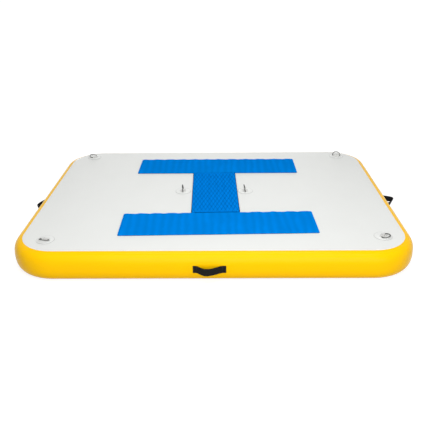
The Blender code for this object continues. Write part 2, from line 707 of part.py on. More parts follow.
def build():
    """Make every piece."""
    for thing in list(bpy.data.objects):
        bpy.data.objects.remove(thing, do_unlink=True)
    finishes = {
        "deck": material("white_coated_fabric", (0.80, 0.81, 0.79), 0.45),
        "wall": material("yellow_coated_fabric", (1.0, 0.60, 0.02), 0.40),
        "liner": material("grey_coated_fabric", (0.55, 0.55, 0.53), 0.60),
        "yarn": material("polyester_yarn", (0.85, 0.85, 0.82), 0.90),
        "pad": material("blue_foam", (0.0, 0.22, 0.75), 0.85),
        "dark_pad": material("blue_grooved_foam", (0.0, 0.17, 0.66), 0.80),
        "loop": material("white_webbing", (0.78, 0.78, 0.76), 0.80),
        "webbing": material("black_webbing", (0.012, 0.012, 0.014), 0.75),
        "steel": material("stainless_steel", (0.62, 0.62, 0.60), 0.22, 1.0),
        "plastic": material("grey_valve_plastic", (0.20, 0.21, 0.22), 0.45),
        "rubber": material("black_rubber", (0.02, 0.02, 0.02), 0.70),
    }
    face_sheet("deck_skin", 1, finishes["deck"])
    face_sheet("bottom_skin", -1, finishes["deck"])
    outer_wall = wall_layer("side_wall_outer", 0.0, WALL_LAP, finishes["wall"])
    liner = wall_layer("side_wall_liner", -SHEET - SEAT_GAP, LINER_LAP, finishes["liner"])
    half_field = FLAT_HALF_Y - LINER_LAP - YARN_MARGIN
    for row, y in enumerate(between(-half_field, half_field, YARN_ROWS - 1), start=1):
        yarn_row(f"drop_stitch_row_{row}", y, finishes["yarn"])
    traction_bar("traction_pad_rear", REAR_BAR_SHIFT, REAR_BAR_Y, 0.0, finishes["pad"])
    traction_bar("traction_pad_front", FRONT_BAR_SHIFT, FRONT_BAR_Y, FRONT_BAR_TURN_DEG, finishes["pad"])
    diamond_pad("traction_pad_centre", finishes["dark_pad"])
    for name, side_x, side_y, inset_x, inset_y, heading, lift in CORNER_RINGS:
        x = side_x * (LENGTH / 2 - inset_x)
        y = side_y * (WIDTH / 2 - inset_y)
        ring_set(name, x, y, heading, lift, finishes)
    for name, side_x, heading, lift in CENTRE_RINGS:
        ring_set(name, side_x * CENTRE_RING_X, CENTRE_RING_Y, heading, lift, finishes)
    for station in HANDLE_SIDES:
        handle_set(station, finishes)
    frame = add_frame("valve_frame", (VALVE_X, WIDTH / 2, HEIGHT / 2), tip_about_x=-math.pi / 2)
    hole_radius = BORE_RADIUS + BARREL_WALL + FIT_CLEARANCE
    half_depth = FLANGE_DEPTH + CUT_OVERRUN
    hole = turned("valve_hole", ((hole_radius, -half_depth), (hole_radius, half_depth)), VALVE_STEPS)
    cutter = bpy.data.objects.new("valve_hole", hole)
    bpy.context.collection.objects.link(cutter)
    cutter.parent = frame
    boolean(outer_wall, cutter, "DIFFERENCE")
    boolean(liner, cutter, "DIFFERENCE")
    valve_body(frame, finishes)
    valve_clamp(frame, finishes)
    valve_poppet(frame, finishes)
    valve_cap(frame, finishes)


build()
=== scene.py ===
import math

import bmesh
import bpy
from mathutils import Matrix, Vector


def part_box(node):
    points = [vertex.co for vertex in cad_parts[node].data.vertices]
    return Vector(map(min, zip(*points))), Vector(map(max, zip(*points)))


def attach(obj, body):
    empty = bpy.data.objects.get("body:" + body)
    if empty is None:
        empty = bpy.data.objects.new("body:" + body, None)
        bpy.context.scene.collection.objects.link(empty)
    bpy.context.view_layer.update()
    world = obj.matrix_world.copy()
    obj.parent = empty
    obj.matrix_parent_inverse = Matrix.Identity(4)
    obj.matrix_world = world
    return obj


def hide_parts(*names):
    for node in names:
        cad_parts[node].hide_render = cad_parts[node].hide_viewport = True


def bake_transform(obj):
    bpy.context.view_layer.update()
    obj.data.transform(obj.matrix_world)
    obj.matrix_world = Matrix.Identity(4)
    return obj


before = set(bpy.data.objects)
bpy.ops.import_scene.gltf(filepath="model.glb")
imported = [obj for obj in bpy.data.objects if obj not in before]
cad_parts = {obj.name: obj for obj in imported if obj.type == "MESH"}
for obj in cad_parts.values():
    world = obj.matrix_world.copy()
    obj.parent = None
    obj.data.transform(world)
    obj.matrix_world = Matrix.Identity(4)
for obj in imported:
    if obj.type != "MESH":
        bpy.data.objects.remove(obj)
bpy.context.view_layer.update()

# Platform, in metres, as the frame has it
LENGTH = 2.000
WIDTH = 1.500
HEIGHT = 0.150
CORNER_RADIUS = 0.228
WALL_BULGE = 0.055
WALL_FULLNESS = 2.5
SHEET = 0.0012
SEAT_GAP = 0.0003
CORNER_STEPS = 20
WALL_STEPS = 40
STRAIGHT_STEPS = 24
LAP_TILT_DEG = 5.0
LAP_STEPS = 6
WALL_LAP = 0.012
PUCKER_PITCH = 0.037
PUCKER_DEPTH = 0.0005
PUCKER_REACH = 0.25
# how much closer together the wall's rows are at its shoulders, and the rounding of the deck's rim in sheets
SHOULDER_CROWDING = 1.35
RIM_BULGE = 0.35
RIM_DROP = 0.1

# Foam pads
PAD_THICKNESS = 0.005
PAD_EDGE = 0.0030
PAD_EDGE_STEPS = 3
PAD_CORNER = 0.010
BAR_LENGTH = 1.014
BAR_WIDTH = 0.252
REAR_BAR_INSET = 0.322
FRONT_BAR_INSET = 0.334
REAR_BAR_SHIFT = 0.016
FRONT_BAR_SHIFT = 0.026
FRONT_BAR_TURN_DEG = 1.3
REAR_EDGE_WAVE = 0.0045
REAR_EDGE_LIFT = 0.0024
REAR_EDGE_STRIP = 0.022
REAR_EDGE_PITCH = 0.088
REAR_EDGE_DRIFT = 7
# a second, finer wave along the rear edges: its size and its pitch as shares of the first
FINE_WAVE_SHARE = 0.4
FINE_WAVE_PITCH_SHARE = 0.43
# where the rows of a bar's top lie in its edge strip, as shares of the strip
EDGE_STRIP_ROWS = (0.4, 0.7, 1.0)
BAR_CORNER_STEPS = 8
BAR_SIDE_STEPS = 140
BAR_COLUMN_PITCH = 0.043
CENTRE_PAD_GAP = 0.0015
CENTRE_PAD_SHIFT = 0.004
CENTRE_PAD_TURN_DEG = 1.4
DIAMOND_WIDTH = 0.0219
DIAMOND_COLUMNS = 12
DIAMOND_ROWS = 8
GROOVE_HALF_WIDTH = 0.0012
GROOVE_DEPTH = 0.0014
DIAMOND_EDGE = 0.0008
# insets that round a diamond: how far in each one goes, and the share of the groove's depth that it rises
DIAMOND_INSETS = ((GROOVE_HALF_WIDTH, 0.55), (DIAMOND_EDGE * 0.5, 0.33), (DIAMOND_EDGE, 0.12))
CENTRE_PAD_RIM = 0.0005
CUT_TOLERANCE = 0.00001

# D-rings
RING_WIRE_RADIUS = 0.0025
WIRE_ROUNDNESS = 4
TURNED_STEPS = 64
ROUND_STEPS = 4
RING_HALF_WIDTH = 0.0245
RING_DEPTH = 0.0350
RING_CORNER = 0.0055
RING_CORNER_STEPS = 8
RING_ARC_STEPS = 48
RING_PATCH_RADIUS = 0.045
RING_PATCH_COLLAR_RADIUS = 0.031
RING_PATCH_THICKNESS = 0.0010
RING_PATCH_COLLAR_RISE = 0.0008
RING_PATCH_EDGE = 0.0006
# beads pressed into the patch and its collar: distance in from the edge, half their width, and their depth
PATCH_BEAD = (0.0030, 0.0012, 0.00035)
COLLAR_BEAD = (0.0030, 0.0010, 0.0003)
COLLAR_FOOT = 0.0004
LOOP_HALF_WIDTH = 0.0190
LOOP_TAIL = 0.0150
LOOP_THICKNESS = 0.0014
LOOP_CLEARANCE = 0.0004
LOOP_FILLET = 0.0012
LOOP_TAIL_STEPS = 6
LOOP_ARC_STEPS = 16
# how far a band's rounded edges reach in, as a share of its thickness
BAND_EDGE_SHARE = 0.45
BAND_EDGE_STEPS = 3
CENTRE_RING_X = 0.183
CENTRE_RING_Y = 0.015
# name, side in X, side in Y, distance from the platform's end and from its side, heading of the ring's arc
# and its lift off the deck, both in degrees
CORNER_RINGS = (
    ("near_right", 1, -1, 0.159, 0.184, -33.0, 10.0),
    ("near_left", -1, -1, 0.174, 0.158, 251.0, 21.0),
    ("far_left", -1, 1, 0.168, 0.133, 147.0, 15.0),
    ("far_right", 1, 1, 0.172, 0.132, 82.0, 27.0),
)
# name, side in X, and the same two angles
CENTRE_RINGS = (
    ("centre_left", -1, 180.0, 84.0),
    ("centre_right", 1, 0.0, 104.0),
)

# Carry handles
STRAP_WIDTH = 0.0385
STRAP_THICKNESS = 0.0022
STRAP_SPAN = 0.158
STRAP_FOOT = 0.064
STRAP_FULLNESS = 0.70
STRAP_SWING_RISE = 0.0137
STRAP_STATIONS = 44
# half the way round a strap's section, whose edges are rounded
STRAP_HALF_GIRTH = STRAP_WIDTH + 0.6 * STRAP_THICKNESS
# how far, in degrees, a strap leans out at the top of its bow, and the share of its width that it folds away
STRAP_BENDS = {"right": (23.0, 0.27), "left": (12.0, 0.0)}
HANDLE_PATCH_HALF_LENGTH = 0.098
HANDLE_PATCH_HALF_HEIGHT = 0.029
HANDLE_PATCH_CORNER = 0.010
HANDLE_PATCH_THICKNESS = 0.0009
HANDLE_PATCH_LEAST_CORNER = 0.0008
HANDLE_PATCH_CORNER_STEPS = 6
HANDLE_PATCH_SIDE_STEPS = 12
# the patch's edge, inward and proud, as shares of its thickness, and the rows of its face
HANDLE_PATCH_EDGE = ((0.0, 0.0), (0.0, 0.4), (0.3, 0.8), (1.0, 1.0))
HANDLE_PATCH_ROWS = (0.004, 0.010, 0.020, 0.028)
# name, side in X, side in Y, turn about Z that brings +Y to face outward, shift along the wall, how far
# the strap bows out, and where along it the bow is highest
HANDLE_SIDES = (
    ("front", 0, -1, 180.0, 0.0135, 0.030, 0.016),
    ("rear", 0, 1, 0.0, 0.0, 0.036, 0.0),
    ("left", -1, 0, 90.0, 0.0, 0.033, -0.044),
    ("right", 1, 0, -90.0, -0.009, 0.059, -0.042),
)

# Inflation valve in the rear wall
VALVE_X = -0.520
VALVE_HOLE_RADIUS = 0.0163
VALVE_HOLE_STEPS = 48
SPRING_WIRE_RADIUS = 0.00045
SPRING_TURNS = 3.5
SPRING_STEPS_PER_TURN = 18
SPRING_SIDES = 10

# signs of the four corners, counter-clockwise
CORNERS = ((1, 1), (-1, 1), (-1, -1), (1, -1))

# Finishes
CLOTH_GRAIN_PER_M = 900.0
CLOTH_GRAIN_DEPTH = 0.00003
DIMPLE_PITCH = 0.0085
FOAM_CELL = 0.0011
FOAM_CELL_DEPTH = 0.00010
FOAM_DRIFT_SCALE = (14.0, 5.0, 1.0)
YARN = 0.0016
YARN_DEPTH = 0.00022
STEEL_HAIRLINES = (400.0, 400.0, 1200.0)
STEEL_HAIRLINE_DEPTH = 0.00001
MOULD_PITS = (1500.0, 1500.0, 1500.0)
MOULD_PIT_DEPTH = 0.00002
FOAM_ROUGHNESS = 0.82
# how far a finish strays from its roughness, where its mask is 0 and where it is 1
CLOTH_SPREAD = (-0.06, 0.08)
FOAM_SPREAD = (-0.06, 0.10)
WEBBING_SPREAD = (0.1, -0.05)
STEEL_SPREAD = (-0.05, 0.12)
MOULD_SPREAD = (-0.08, 0.1)
HERRINGBONE_YARNS = 8.0
STITCH_INSET = 0.004
STITCH_THREAD = 0.0006
STITCH_PITCH = 0.0036
STITCH_RISE = 0.0004
STITCH_GAP_LEVEL = -0.3

FLAT_HALF_X = LENGTH / 2 - WALL_BULGE
FLAT_HALF_Y = WIDTH / 2 - WALL_BULGE
FLAT_CORNER = CORNER_RADIUS - WALL_BULGE
WALL_HALF_HEIGHT = HEIGHT / 2 - SHEET - SEAT_GAP
DECK_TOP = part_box("deck_skin")[1][2]
PAD_SEAT = DECK_TOP + SEAT_GAP
REAR_BAR_Y = WIDTH / 2 - REAR_BAR_INSET
FRONT_BAR_Y = FRONT_BAR_INSET - WIDTH / 2


# Shader node groups

def add_node(tree, kind, **settings):
    """Add a node with these settings. Entries of inputs are values or the sockets to link from."""
    made = tree.nodes.new(kind)
    inputs = settings.pop("inputs", {})
    for key, value in settings.items():
        setattr(made, key, value)
    for key, value in inputs.items():
        if isinstance(value, bpy.types.NodeSocket):
            tree.links.new(value, made.inputs[key])
        else:
            made.inputs[key].default_value = value
    return made


def maths(tree, operation, first, second=0.0, third=0.0):
    """The output of a Math node."""
    made = add_node(tree, "ShaderNodeMath", operation=operation, inputs={0: first, 1: second, 2: third})
    return made.outputs[0]


def noise(tree, place, scale, detail):
    """A noise from 0 to 1 at these coordinates."""
    made = add_node(tree, "ShaderNodeTexNoise", inputs={0: place, "Scale": scale, "Detail": detail})
    return made.outputs["Fac"]


def scaled(tree, colour, factor):
    """A colour or vector times a number."""
    made = add_node(tree, "ShaderNodeVectorMath", operation="SCALE", inputs={0: colour, "Scale": factor})
    return made.outputs[0]


def axes_of(tree, place):
    """The X, Y and Z sockets of a vector."""
    return add_node(tree, "ShaderNodeSeparateXYZ", inputs={0: place}).outputs


def new_group(name, inputs, outputs):
    """A shader node group with these sockets. Returns it with the sockets inside it, by name."""
    group = bpy.data.node_groups.new(name, "ShaderNodeTree")
    kinds = {"value": "NodeSocketFloat", "colour": "NodeSocketColor", "vector": "NodeSocketVector"}
    for label, kind in inputs:
        group.interface.new_socket(label, in_out="INPUT", socket_type=kinds[kind])
    for label, kind in outputs:
        group.interface.new_socket(label, in_out="OUTPUT", socket_type=kinds[kind])
    entry = group.nodes.new("NodeGroupInput")
    leave = group.nodes.new("NodeGroupOutput")
    return group, entry.outputs, leave.inputs


def give(group, leave, **outputs):
    """Link these sockets to the group's outputs of the same names."""
    for name, socket in outputs.items():
        group.links.new(socket, leave[name])


def wave(tree, coordinate, pitch):
    """A sine of this pitch along a coordinate, from -1 to 1."""
    turns = maths(tree, "DIVIDE", coordinate, pitch)
    return maths(tree, "SINE", maths(tree, "MULTIPLY", turns, 2 * math.pi))


def make_coated_cloth_group():
    """Relief of coated cloth: fine grain, drop-stitch dimples, and slow ripples that are a mask too."""
    inputs = (("Vector", "vector"), ("Dimple Pitch", "value"), ("Dimple Depth", "value"))
    inputs += (("Ripple Size", "vector"), ("Ripple Depth", "value"))
    group, entry, leave = new_group("coated_cloth_relief", inputs, (("Height", "value"), ("Drift", "value")))
    place = entry["Vector"]
    axes = axes_of(group, place)
    across = wave(group, axes[0], entry["Dimple Pitch"])
    along = wave(group, axes[1], entry["Dimple Pitch"])
    dimples = maths(group, "MULTIPLY", maths(group, "MULTIPLY", across, along), entry["Dimple Depth"])
    sizes = {0: place, 1: entry["Ripple Size"]}
    stretched = add_node(group, "ShaderNodeVectorMath", operation="DIVIDE", inputs=sizes)
    ripples = noise(group, stretched.outputs[0], 1.0, 3.0)
    slow = maths(group, "MULTIPLY", ripples, entry["Ripple Depth"])
    grain = noise(group, place, CLOTH_GRAIN_PER_M, 2.0)
    fine = maths(group, "MULTIPLY", grain, CLOTH_GRAIN_DEPTH)
    height = maths(group, "ADD", maths(group, "ADD", dimples, slow), fine)
    give(group, leave, Height=height, Drift=ripples)
    return group


def make_tone_group():
    """A colour that drifts a little lighter and darker, and the drift itself as a mask."""
    inputs = (("Colour", "colour"), ("Vector", "vector"), ("Size", "value"), ("Amount", "value"))
    group, entry, leave = new_group("tone_drift", inputs, (("Colour", "colour"), ("Mask", "value")))
    scale = maths(group, "DIVIDE", 1.0, entry["Size"])
    drift = noise(group, entry["Vector"], scale, 4.0)
    centred = maths(group, "SUBTRACT", drift, 0.5)
    lift = maths(group, "MULTIPLY_ADD", centred, entry["Amount"], 1.0)
    give(group, leave, Colour=scaled(group, entry["Colour"], lift), Mask=drift)
    return group


def make_webbing_group():
    """Herringbone relief of woven webbing, and a mask that is dark between its yarns."""
    inputs = (("Vector", "vector"), ("Yarn", "value"), ("Depth", "value"))
    group, entry, leave = new_group("webbing_weave", inputs, (("Height", "value"), ("Mask", "value")))
    axes = axes_of(group, entry["Vector"])
    yarn = entry["Yarn"]
    stripes = maths(group, "DIVIDE", axes[0], maths(group, "MULTIPLY", yarn, HERRINGBONE_YARNS))
    lean = maths(group, "ABSOLUTE", maths(group, "SUBTRACT", maths(group, "FRACT", stripes), 0.5))
    slant = maths(group, "MULTIPLY", maths(group, "MULTIPLY", lean, yarn), HERRINGBONE_YARNS)
    ribs = wave(group, maths(group, "ADD", axes[1], slant), yarn)
    columns = wave(group, axes[0], yarn)
    woven = maths(group, "MULTIPLY_ADD", maths(group, "ADD", ribs, columns), 0.25, 0.5)
    give(group, leave, Height=maths(group, "MULTIPLY", woven, entry["Depth"]), Mask=woven)
    return group


def make_foam_group():
    """Relief of brushed closed-cell foam from fine cells, and a mask of soft columns of this pitch across the
    pad, for painted shade of shallow undulations mixed with a random drift in tone.
    """
    inputs = (("Vector", "vector"), ("Cell", "value"), ("Depth", "value"), ("Pitch", "value"))
    group, entry, leave = new_group("foam_nap", inputs, (("Height", "value"), ("Streaks", "value")))
    scale = maths(group, "DIVIDE", 1.0, entry["Cell"])
    place = entry["Vector"]
    cells = add_node(group, "ShaderNodeTexVoronoi", inputs={"Vector": place, "Scale": scale})
    height = maths(group, "MULTIPLY", cells.outputs["Distance"], entry["Depth"])
    drawn = add_node(group, "ShaderNodeMapping", inputs={"Vector": place, "Scale": FOAM_DRIFT_SCALE})
    drift = noise(group, drawn.outputs[0], 1.0, 3.0)
    bent = maths(group, "MULTIPLY_ADD", drift, entry["Pitch"], axes_of(group, place)[0])
    columns = maths(group, "MULTIPLY", wave(group, bent, entry["Pitch"]), drift)
    streaks = maths(group, "MULTIPLY_ADD", columns, 0.5, drift)
    give(group, leave, Height=height, Streaks=streaks)
    return group


def make_stitch_group():
    """A box of stitches between two corners, as a mask that is 1 on the thread."""
    inputs = (("Vector", "vector"), ("Low", "vector"), ("High", "vector"))
    inputs += (("Thread", "value"), ("Pitch", "value"))
    group, entry, leave = new_group("stitch_box", inputs, (("Mask", "value"),))
    places, lows, highs = [axes_of(group, entry[name]) for name in ("Vector", "Low", "High")]
    mask = 0.0
    for axis in (0, 1):
        along = 1 - axis
        thread = entry["Thread"]
        above = maths(group, "GREATER_THAN", places[along], lows[along])
        below = maths(group, "LESS_THAN", places[along], highs[along])
        inside = maths(group, "MULTIPLY", above, below)
        dashes = wave(group, places[along], entry["Pitch"])
        dashes = maths(group, "MULTIPLY", maths(group, "GREATER_THAN", dashes, STITCH_GAP_LEVEL), inside)
        for side in (lows[axis], highs[axis]):
            away = maths(group, "ABSOLUTE", maths(group, "SUBTRACT", places[axis], side))
            line = maths(group, "MULTIPLY", maths(group, "LESS_THAN", away, thread), dashes)
            mask = maths(group, "MAXIMUM", mask, line)
    give(group, leave, Mask=mask)
    return group


def make_wear_group():
    """Hairline scratches and handling marks, as a height and a mask."""
    inputs = (("Vector", "vector"), ("Stretch", "vector"), ("Depth", "value"))
    group, entry, leave = new_group("fine_wear", inputs, (("Height", "value"), ("Mask", "value")))
    sizes = {0: entry["Vector"], 1: entry["Stretch"]}
    drawn = add_node(group, "ShaderNodeVectorMath", operation="MULTIPLY", inputs=sizes)
    lines = noise(group, drawn.outputs[0], 1.0, 5.0)
    height = maths(group, "MULTIPLY", lines, entry["Depth"])
    give(group, leave, Height=height, Mask=lines)
    return group


GROUPS = {
    "cloth": make_coated_cloth_group(),
    "tone": make_tone_group(),
    "webbing": make_webbing_group(),
    "foam": make_foam_group(),
    "wear": make_wear_group(),
    "stitch": make_stitch_group(),
}


# Materials

def start_material(name, colour, roughness, metallic=0.0):
    """A material with a Principled BSDF. Returns it, its tree and the shader."""
    made = bpy.data.materials.new(name)
    made.use_nodes = True
    shader = made.node_tree.nodes["Principled BSDF"]
    shader.inputs["Base Color"].default_value = (*colour, 1.0)
    shader.inputs["Roughness"].default_value = roughness
    shader.inputs["Metallic"].default_value = metallic
    return made, made.node_tree, shader


def place_group(tree, key, **inputs):
    """One of the shared groups, with its inputs by name. Underscores in a name stand for spaces."""
    named = {name.replace("_", " "): value for name, value in inputs.items()}
    return add_node(tree, "ShaderNodeGroup", node_tree=GROUPS[key], inputs=named)


def coordinates(tree, kind):
    """Texture coordinates of this kind: Object, or UV for the maps in metres."""
    return tree.nodes.new("ShaderNodeTexCoord").outputs[kind]


def surface(tree, shader, roughness, spread, mask, height, gloss=0.5):
    """Let a mask move the roughness by its spread, turn a height in metres into the normal, set the gloss."""
    moved = {"Value": mask, "To Min": roughness + spread[0], "To Max": roughness + spread[1]}
    varied = add_node(tree, "ShaderNodeMapRange", inputs=moved)
    tree.links.new(varied.outputs[0], shader.inputs["Roughness"])
    bump = add_node(tree, "ShaderNodeBump", inputs={"Strength": 1.0, "Distance": 1.0, "Height": height})
    tree.links.new(bump.outputs["Normal"], shader.inputs["Normal"])
    shader.inputs["Specular IOR Level"].default_value = gloss


def coated_cloth(name, colour, roughness, gloss, dimple_depth, ripple_size, ripple_depth, tone, rim=None):
    """Cloth under a smooth coat of plastic. A rim is the width and darkness of painted shade along the edge
    where V is 0.
    """
    made, tree, shader = start_material(name, colour, roughness)
    place = coordinates(tree, "UV")
    cloth = place_group(
        tree, "cloth", Vector=place, Dimple_Pitch=DIMPLE_PITCH, Dimple_Depth=dimple_depth,
        Ripple_Size=ripple_size, Ripple_Depth=ripple_depth,
    )
    shade = place_group(tree, "tone", Colour=(*colour, 1.0), Vector=place, Size=0.16, Amount=tone)
    toned = shade.outputs["Colour"]
    # painted shade: the colour darkens towards the edge where V is 0
    if rim is not None:
        width, dark = rim
        edge = {"Value": axes_of(tree, place)[1], "From Max": width, "To Min": dark}
        glued = add_node(tree, "ShaderNodeMapRange", interpolation_type="SMOOTHSTEP", inputs=edge)
        toned = scaled(tree, toned, glued.outputs[0])
    tree.links.new(toned, shader.inputs["Base Color"])
    surface(tree, shader, roughness, CLOTH_SPREAD, cloth.outputs["Drift"], cloth.outputs["Height"], gloss)
    return made


def foam(name, colour, painted_column_shade, groove_low, groove_high, groove_painted_shade):
    """Brushed closed-cell foam with painted shade: darker below a height, down in its grooves and along its
    foot, and lighter and darker in soft columns across it.
    """
    made, tree, shader = start_material(name, colour, FOAM_ROUGHNESS)
    place = coordinates(tree, "UV")
    nap = place_group(
        tree, "foam", Vector=place, Cell=FOAM_CELL, Depth=FOAM_CELL_DEPTH, Pitch=BAR_COLUMN_PITCH
    )
    shade = place_group(tree, "tone", Colour=(*colour, 1.0), Vector=place, Size=0.05, Amount=0.10)
    # the streaks lighten and darken the colour in soft columns: painted shade of the pad's shallow
    # undulations, mixed with a random drift in tone
    lift = maths(tree, "MULTIPLY_ADD", maths(tree, "SUBTRACT", nap.outputs["Streaks"], 0.5), painted_column_shade, 1.0)
    streaked = scaled(tree, shade.outputs["Colour"], lift)
    # painted shade: below a height the colour darkens, down in the grooves and along the pad's foot and sides
    height = axes_of(tree, coordinates(tree, "Object"))[2]
    depth = {"Value": height, "From Min": groove_low, "From Max": groove_high, "To Min": groove_painted_shade}
    shaded = add_node(tree, "ShaderNodeMapRange", interpolation_type="SMOOTHSTEP", inputs=depth)
    tree.links.new(scaled(tree, streaked, shaded.outputs[0]), shader.inputs["Base Color"])
    surface(tree, shader, FOAM_ROUGHNESS, FOAM_SPREAD, shade.outputs["Mask"], nap.outputs["Height"], 0.0)
    return made


def webbing(name, colour, between_yarns, roughness, gloss, stitched=None):
    """Woven polyester webbing, its colour darker between the yarns. Stitched is the thread's colour and the
    corners of a box of stitches on the map."""
    made, tree, shader = start_material(name, colour, roughness)
    place = coordinates(tree, "UV")
    weave = place_group(tree, "webbing", Vector=place, Yarn=YARN, Depth=YARN_DEPTH)
    shade = place_group(tree, "tone", Colour=(*colour, 1.0), Vector=place, Size=0.012, Amount=0.25)
    woven = {0: weave.outputs["Mask"], 6: (*between_yarns, 1.0), 7: shade.outputs["Colour"]}
    mixed = add_node(tree, "ShaderNodeMix", data_type="RGBA", inputs=woven)
    height = weave.outputs["Height"]
    if stitched is not None:
        thread, low, high = stitched
        box = place_group(
            tree, "stitch", Vector=place, Low=low, High=high, Thread=STITCH_THREAD, Pitch=STITCH_PITCH
        )
        sewn = {0: box.outputs["Mask"], 6: mixed.outputs[2], 7: (*thread, 1.0)}
        mixed = add_node(tree, "ShaderNodeMix", data_type="RGBA", inputs=sewn)
        height = maths(tree, "MULTIPLY_ADD", box.outputs["Mask"], STITCH_RISE, height)
    tree.links.new(mixed.outputs[2], shader.inputs["Base Color"])
    surface(tree, shader, roughness, WEBBING_SPREAD, weave.outputs["Mask"], height, gloss)
    return made


def worn(name, colour, roughness, spread, stretch, depth, tone_size, tone, metallic=0.0):
    """A hard piece with fine scratches or pits, drawn out by the stretch."""
    made, tree, shader = start_material(name, colour, roughness, metallic)
    place = coordinates(tree, "Object")
    wear = place_group(tree, "wear", Vector=place, Stretch=stretch, Depth=depth)
    shade = place_group(tree, "tone", Colour=(*colour, 1.0), Vector=place, Size=tone_size, Amount=tone)
    tree.links.new(shade.outputs["Colour"], shader.inputs["Base Color"])
    surface(tree, shader, roughness, spread, wear.outputs["Mask"], wear.outputs["Height"])
    return made


def steel(name, colour, roughness):
    """Polished steel with hairline scratches."""
    return worn(
        name, colour, roughness, STEEL_SPREAD, STEEL_HAIRLINES, STEEL_HAIRLINE_DEPTH,
        tone_size=0.02, tone=0.15, metallic=1.0,
    )


def moulded(name, colour, roughness):
    """Moulded plastic or rubber with a fine eroded surface."""
    return worn(name, colour, roughness, MOULD_SPREAD, MOULD_PITS, MOULD_PIT_DEPTH, tone_size=0.01, tone=0.2)


WHITE = (0.77, 0.78, 0.76)
YELLOW = (1.0, 0.56, 0.001)
LINER_GREY = (0.55, 0.55, 0.53)
BAR_BLUE = (0.0, 0.205, 0.69)
DIAMOND_BLUE = (0.0, 0.205, 0.72)
YARN_WHITE = (0.85, 0.85, 0.82)
YARN_SHADOW = (0.5, 0.5, 0.48)
WEBBING_BLACK = (0.008, 0.008, 0.009)
WEBBING_BLACK_SHADOW = (0.002, 0.002, 0.002)
WEBBING_WHITE = (0.80, 0.80, 0.78)
WEBBING_WHITE_SHADOW = (0.45, 0.45, 0.43)
STITCH_GREY = (0.045, 0.045, 0.048)
# the steel's colour is kept dark as a painted reflection of dark surroundings
STEEL_GREY_PAINTED_DARK = (0.10, 0.10, 0.095)
VALVE_GREY = (0.20, 0.21, 0.22)
RUBBER_BLACK = (0.02, 0.02, 0.02)
PAD_TOP = PAD_SEAT + PAD_THICKNESS
GROOVE_FLOOR = PAD_TOP - GROOVE_DEPTH
# the thread's colour and two corners of the stitched box on a strap's glued end: across it, then along it
HANDLE_STITCHES = (
    STITCH_GREY,
    (STITCH_INSET, STITCH_INSET, 0.0),
    (STRAP_WIDTH - STITCH_INSET, STRAP_SPAN / 2 - STRAP_FOOT + STITCH_INSET, 0.0),
)
MATERIALS = {
    "deck": coated_cloth(
        "white_deck_cloth", WHITE, roughness=0.50, gloss=0.12, dimple_depth=0.00005,
        ripple_size=(0.05, 0.30, 1.0), ripple_depth=0.0006, tone=0.03,
    ),
    "wall": coated_cloth(
        "yellow_wall_cloth", YELLOW, roughness=0.24, gloss=0.06, dimple_depth=0.0,
        ripple_size=(0.22, 0.08, 1.0), ripple_depth=0.0006, tone=0.04,
    ),
    "liner": coated_cloth(
        "grey_liner_cloth", LINER_GREY, roughness=0.60, gloss=0.3, dimple_depth=0.0,
        ripple_size=(0.2, 0.1, 1.0), ripple_depth=0.0004, tone=0.08,
    ),
    "patch": coated_cloth(
        "white_patch_cloth", WHITE, roughness=0.50, gloss=0.15, dimple_depth=0.0,
        ripple_size=(0.03, 0.03, 1.0), ripple_depth=0.0001, tone=0.04, rim=(0.0045, 0.62),
    ),
    "yarn": webbing("polyester_yarn", YARN_WHITE, YARN_SHADOW, roughness=0.9, gloss=0.3),
    "bar": foam(
        "blue_foam", BAR_BLUE, painted_column_shade=0.21, groove_low=PAD_SEAT + PAD_EDGE / 3,
        groove_high=PAD_TOP - PAD_EDGE / 5, groove_painted_shade=0.2,
    ),
    "diamonds": foam(
        "blue_grooved_foam", DIAMOND_BLUE, painted_column_shade=0.12, groove_low=GROOVE_FLOOR,
        groove_high=PAD_TOP, groove_painted_shade=0.25,
    ),
    "black_webbing": webbing(
        "black_webbing", WEBBING_BLACK, WEBBING_BLACK_SHADOW, roughness=0.75, gloss=0.15,
        stitched=HANDLE_STITCHES,
    ),
    "white_webbing": webbing("white_webbing", WEBBING_WHITE, WEBBING_WHITE_SHADOW, roughness=0.80, gloss=0.3),
    "steel": steel("stainless_steel", STEEL_GREY_PAINTED_DARK, roughness=0.18),
    "plastic": moulded("grey_valve_plastic", VALVE_GREY, roughness=0.45),
    "rubber": moulded("black_rubber", RUBBER_BLACK, roughness=0.70),
}


# Mesh tools

def outline_points(half_x, half_y, radius, corner_steps, straight_steps):
    """Points of a rounded rectangle, counter-clockwise, with its straight sides divided too."""
    arcs = []
    for quarter, (side_x, side_y) in enumerate(CORNERS):
        centre = Vector((side_x * (half_x - radius), side_y * (half_y - radius)))
        angles = [math.pi / 2 * (quarter + step / corner_steps) for step in range(corner_steps + 1)]
        arcs.append([centre + Vector((math.cos(angle), math.sin(angle))) * radius for angle in angles])
    points = []
    for arc, after in zip(arcs, arcs[1:] + arcs[:1]):
        points += arc
        points += [arc[-1].lerp(after[0], step / straight_steps) for step in range(1, straight_steps)]
    return points


def add_object(name, data):
    """A new object in the scene, with this mesh, curve, lamp or camera."""
    made = bpy.data.objects.new(name, data)
    bpy.context.scene.collection.objects.link(made)
    return made


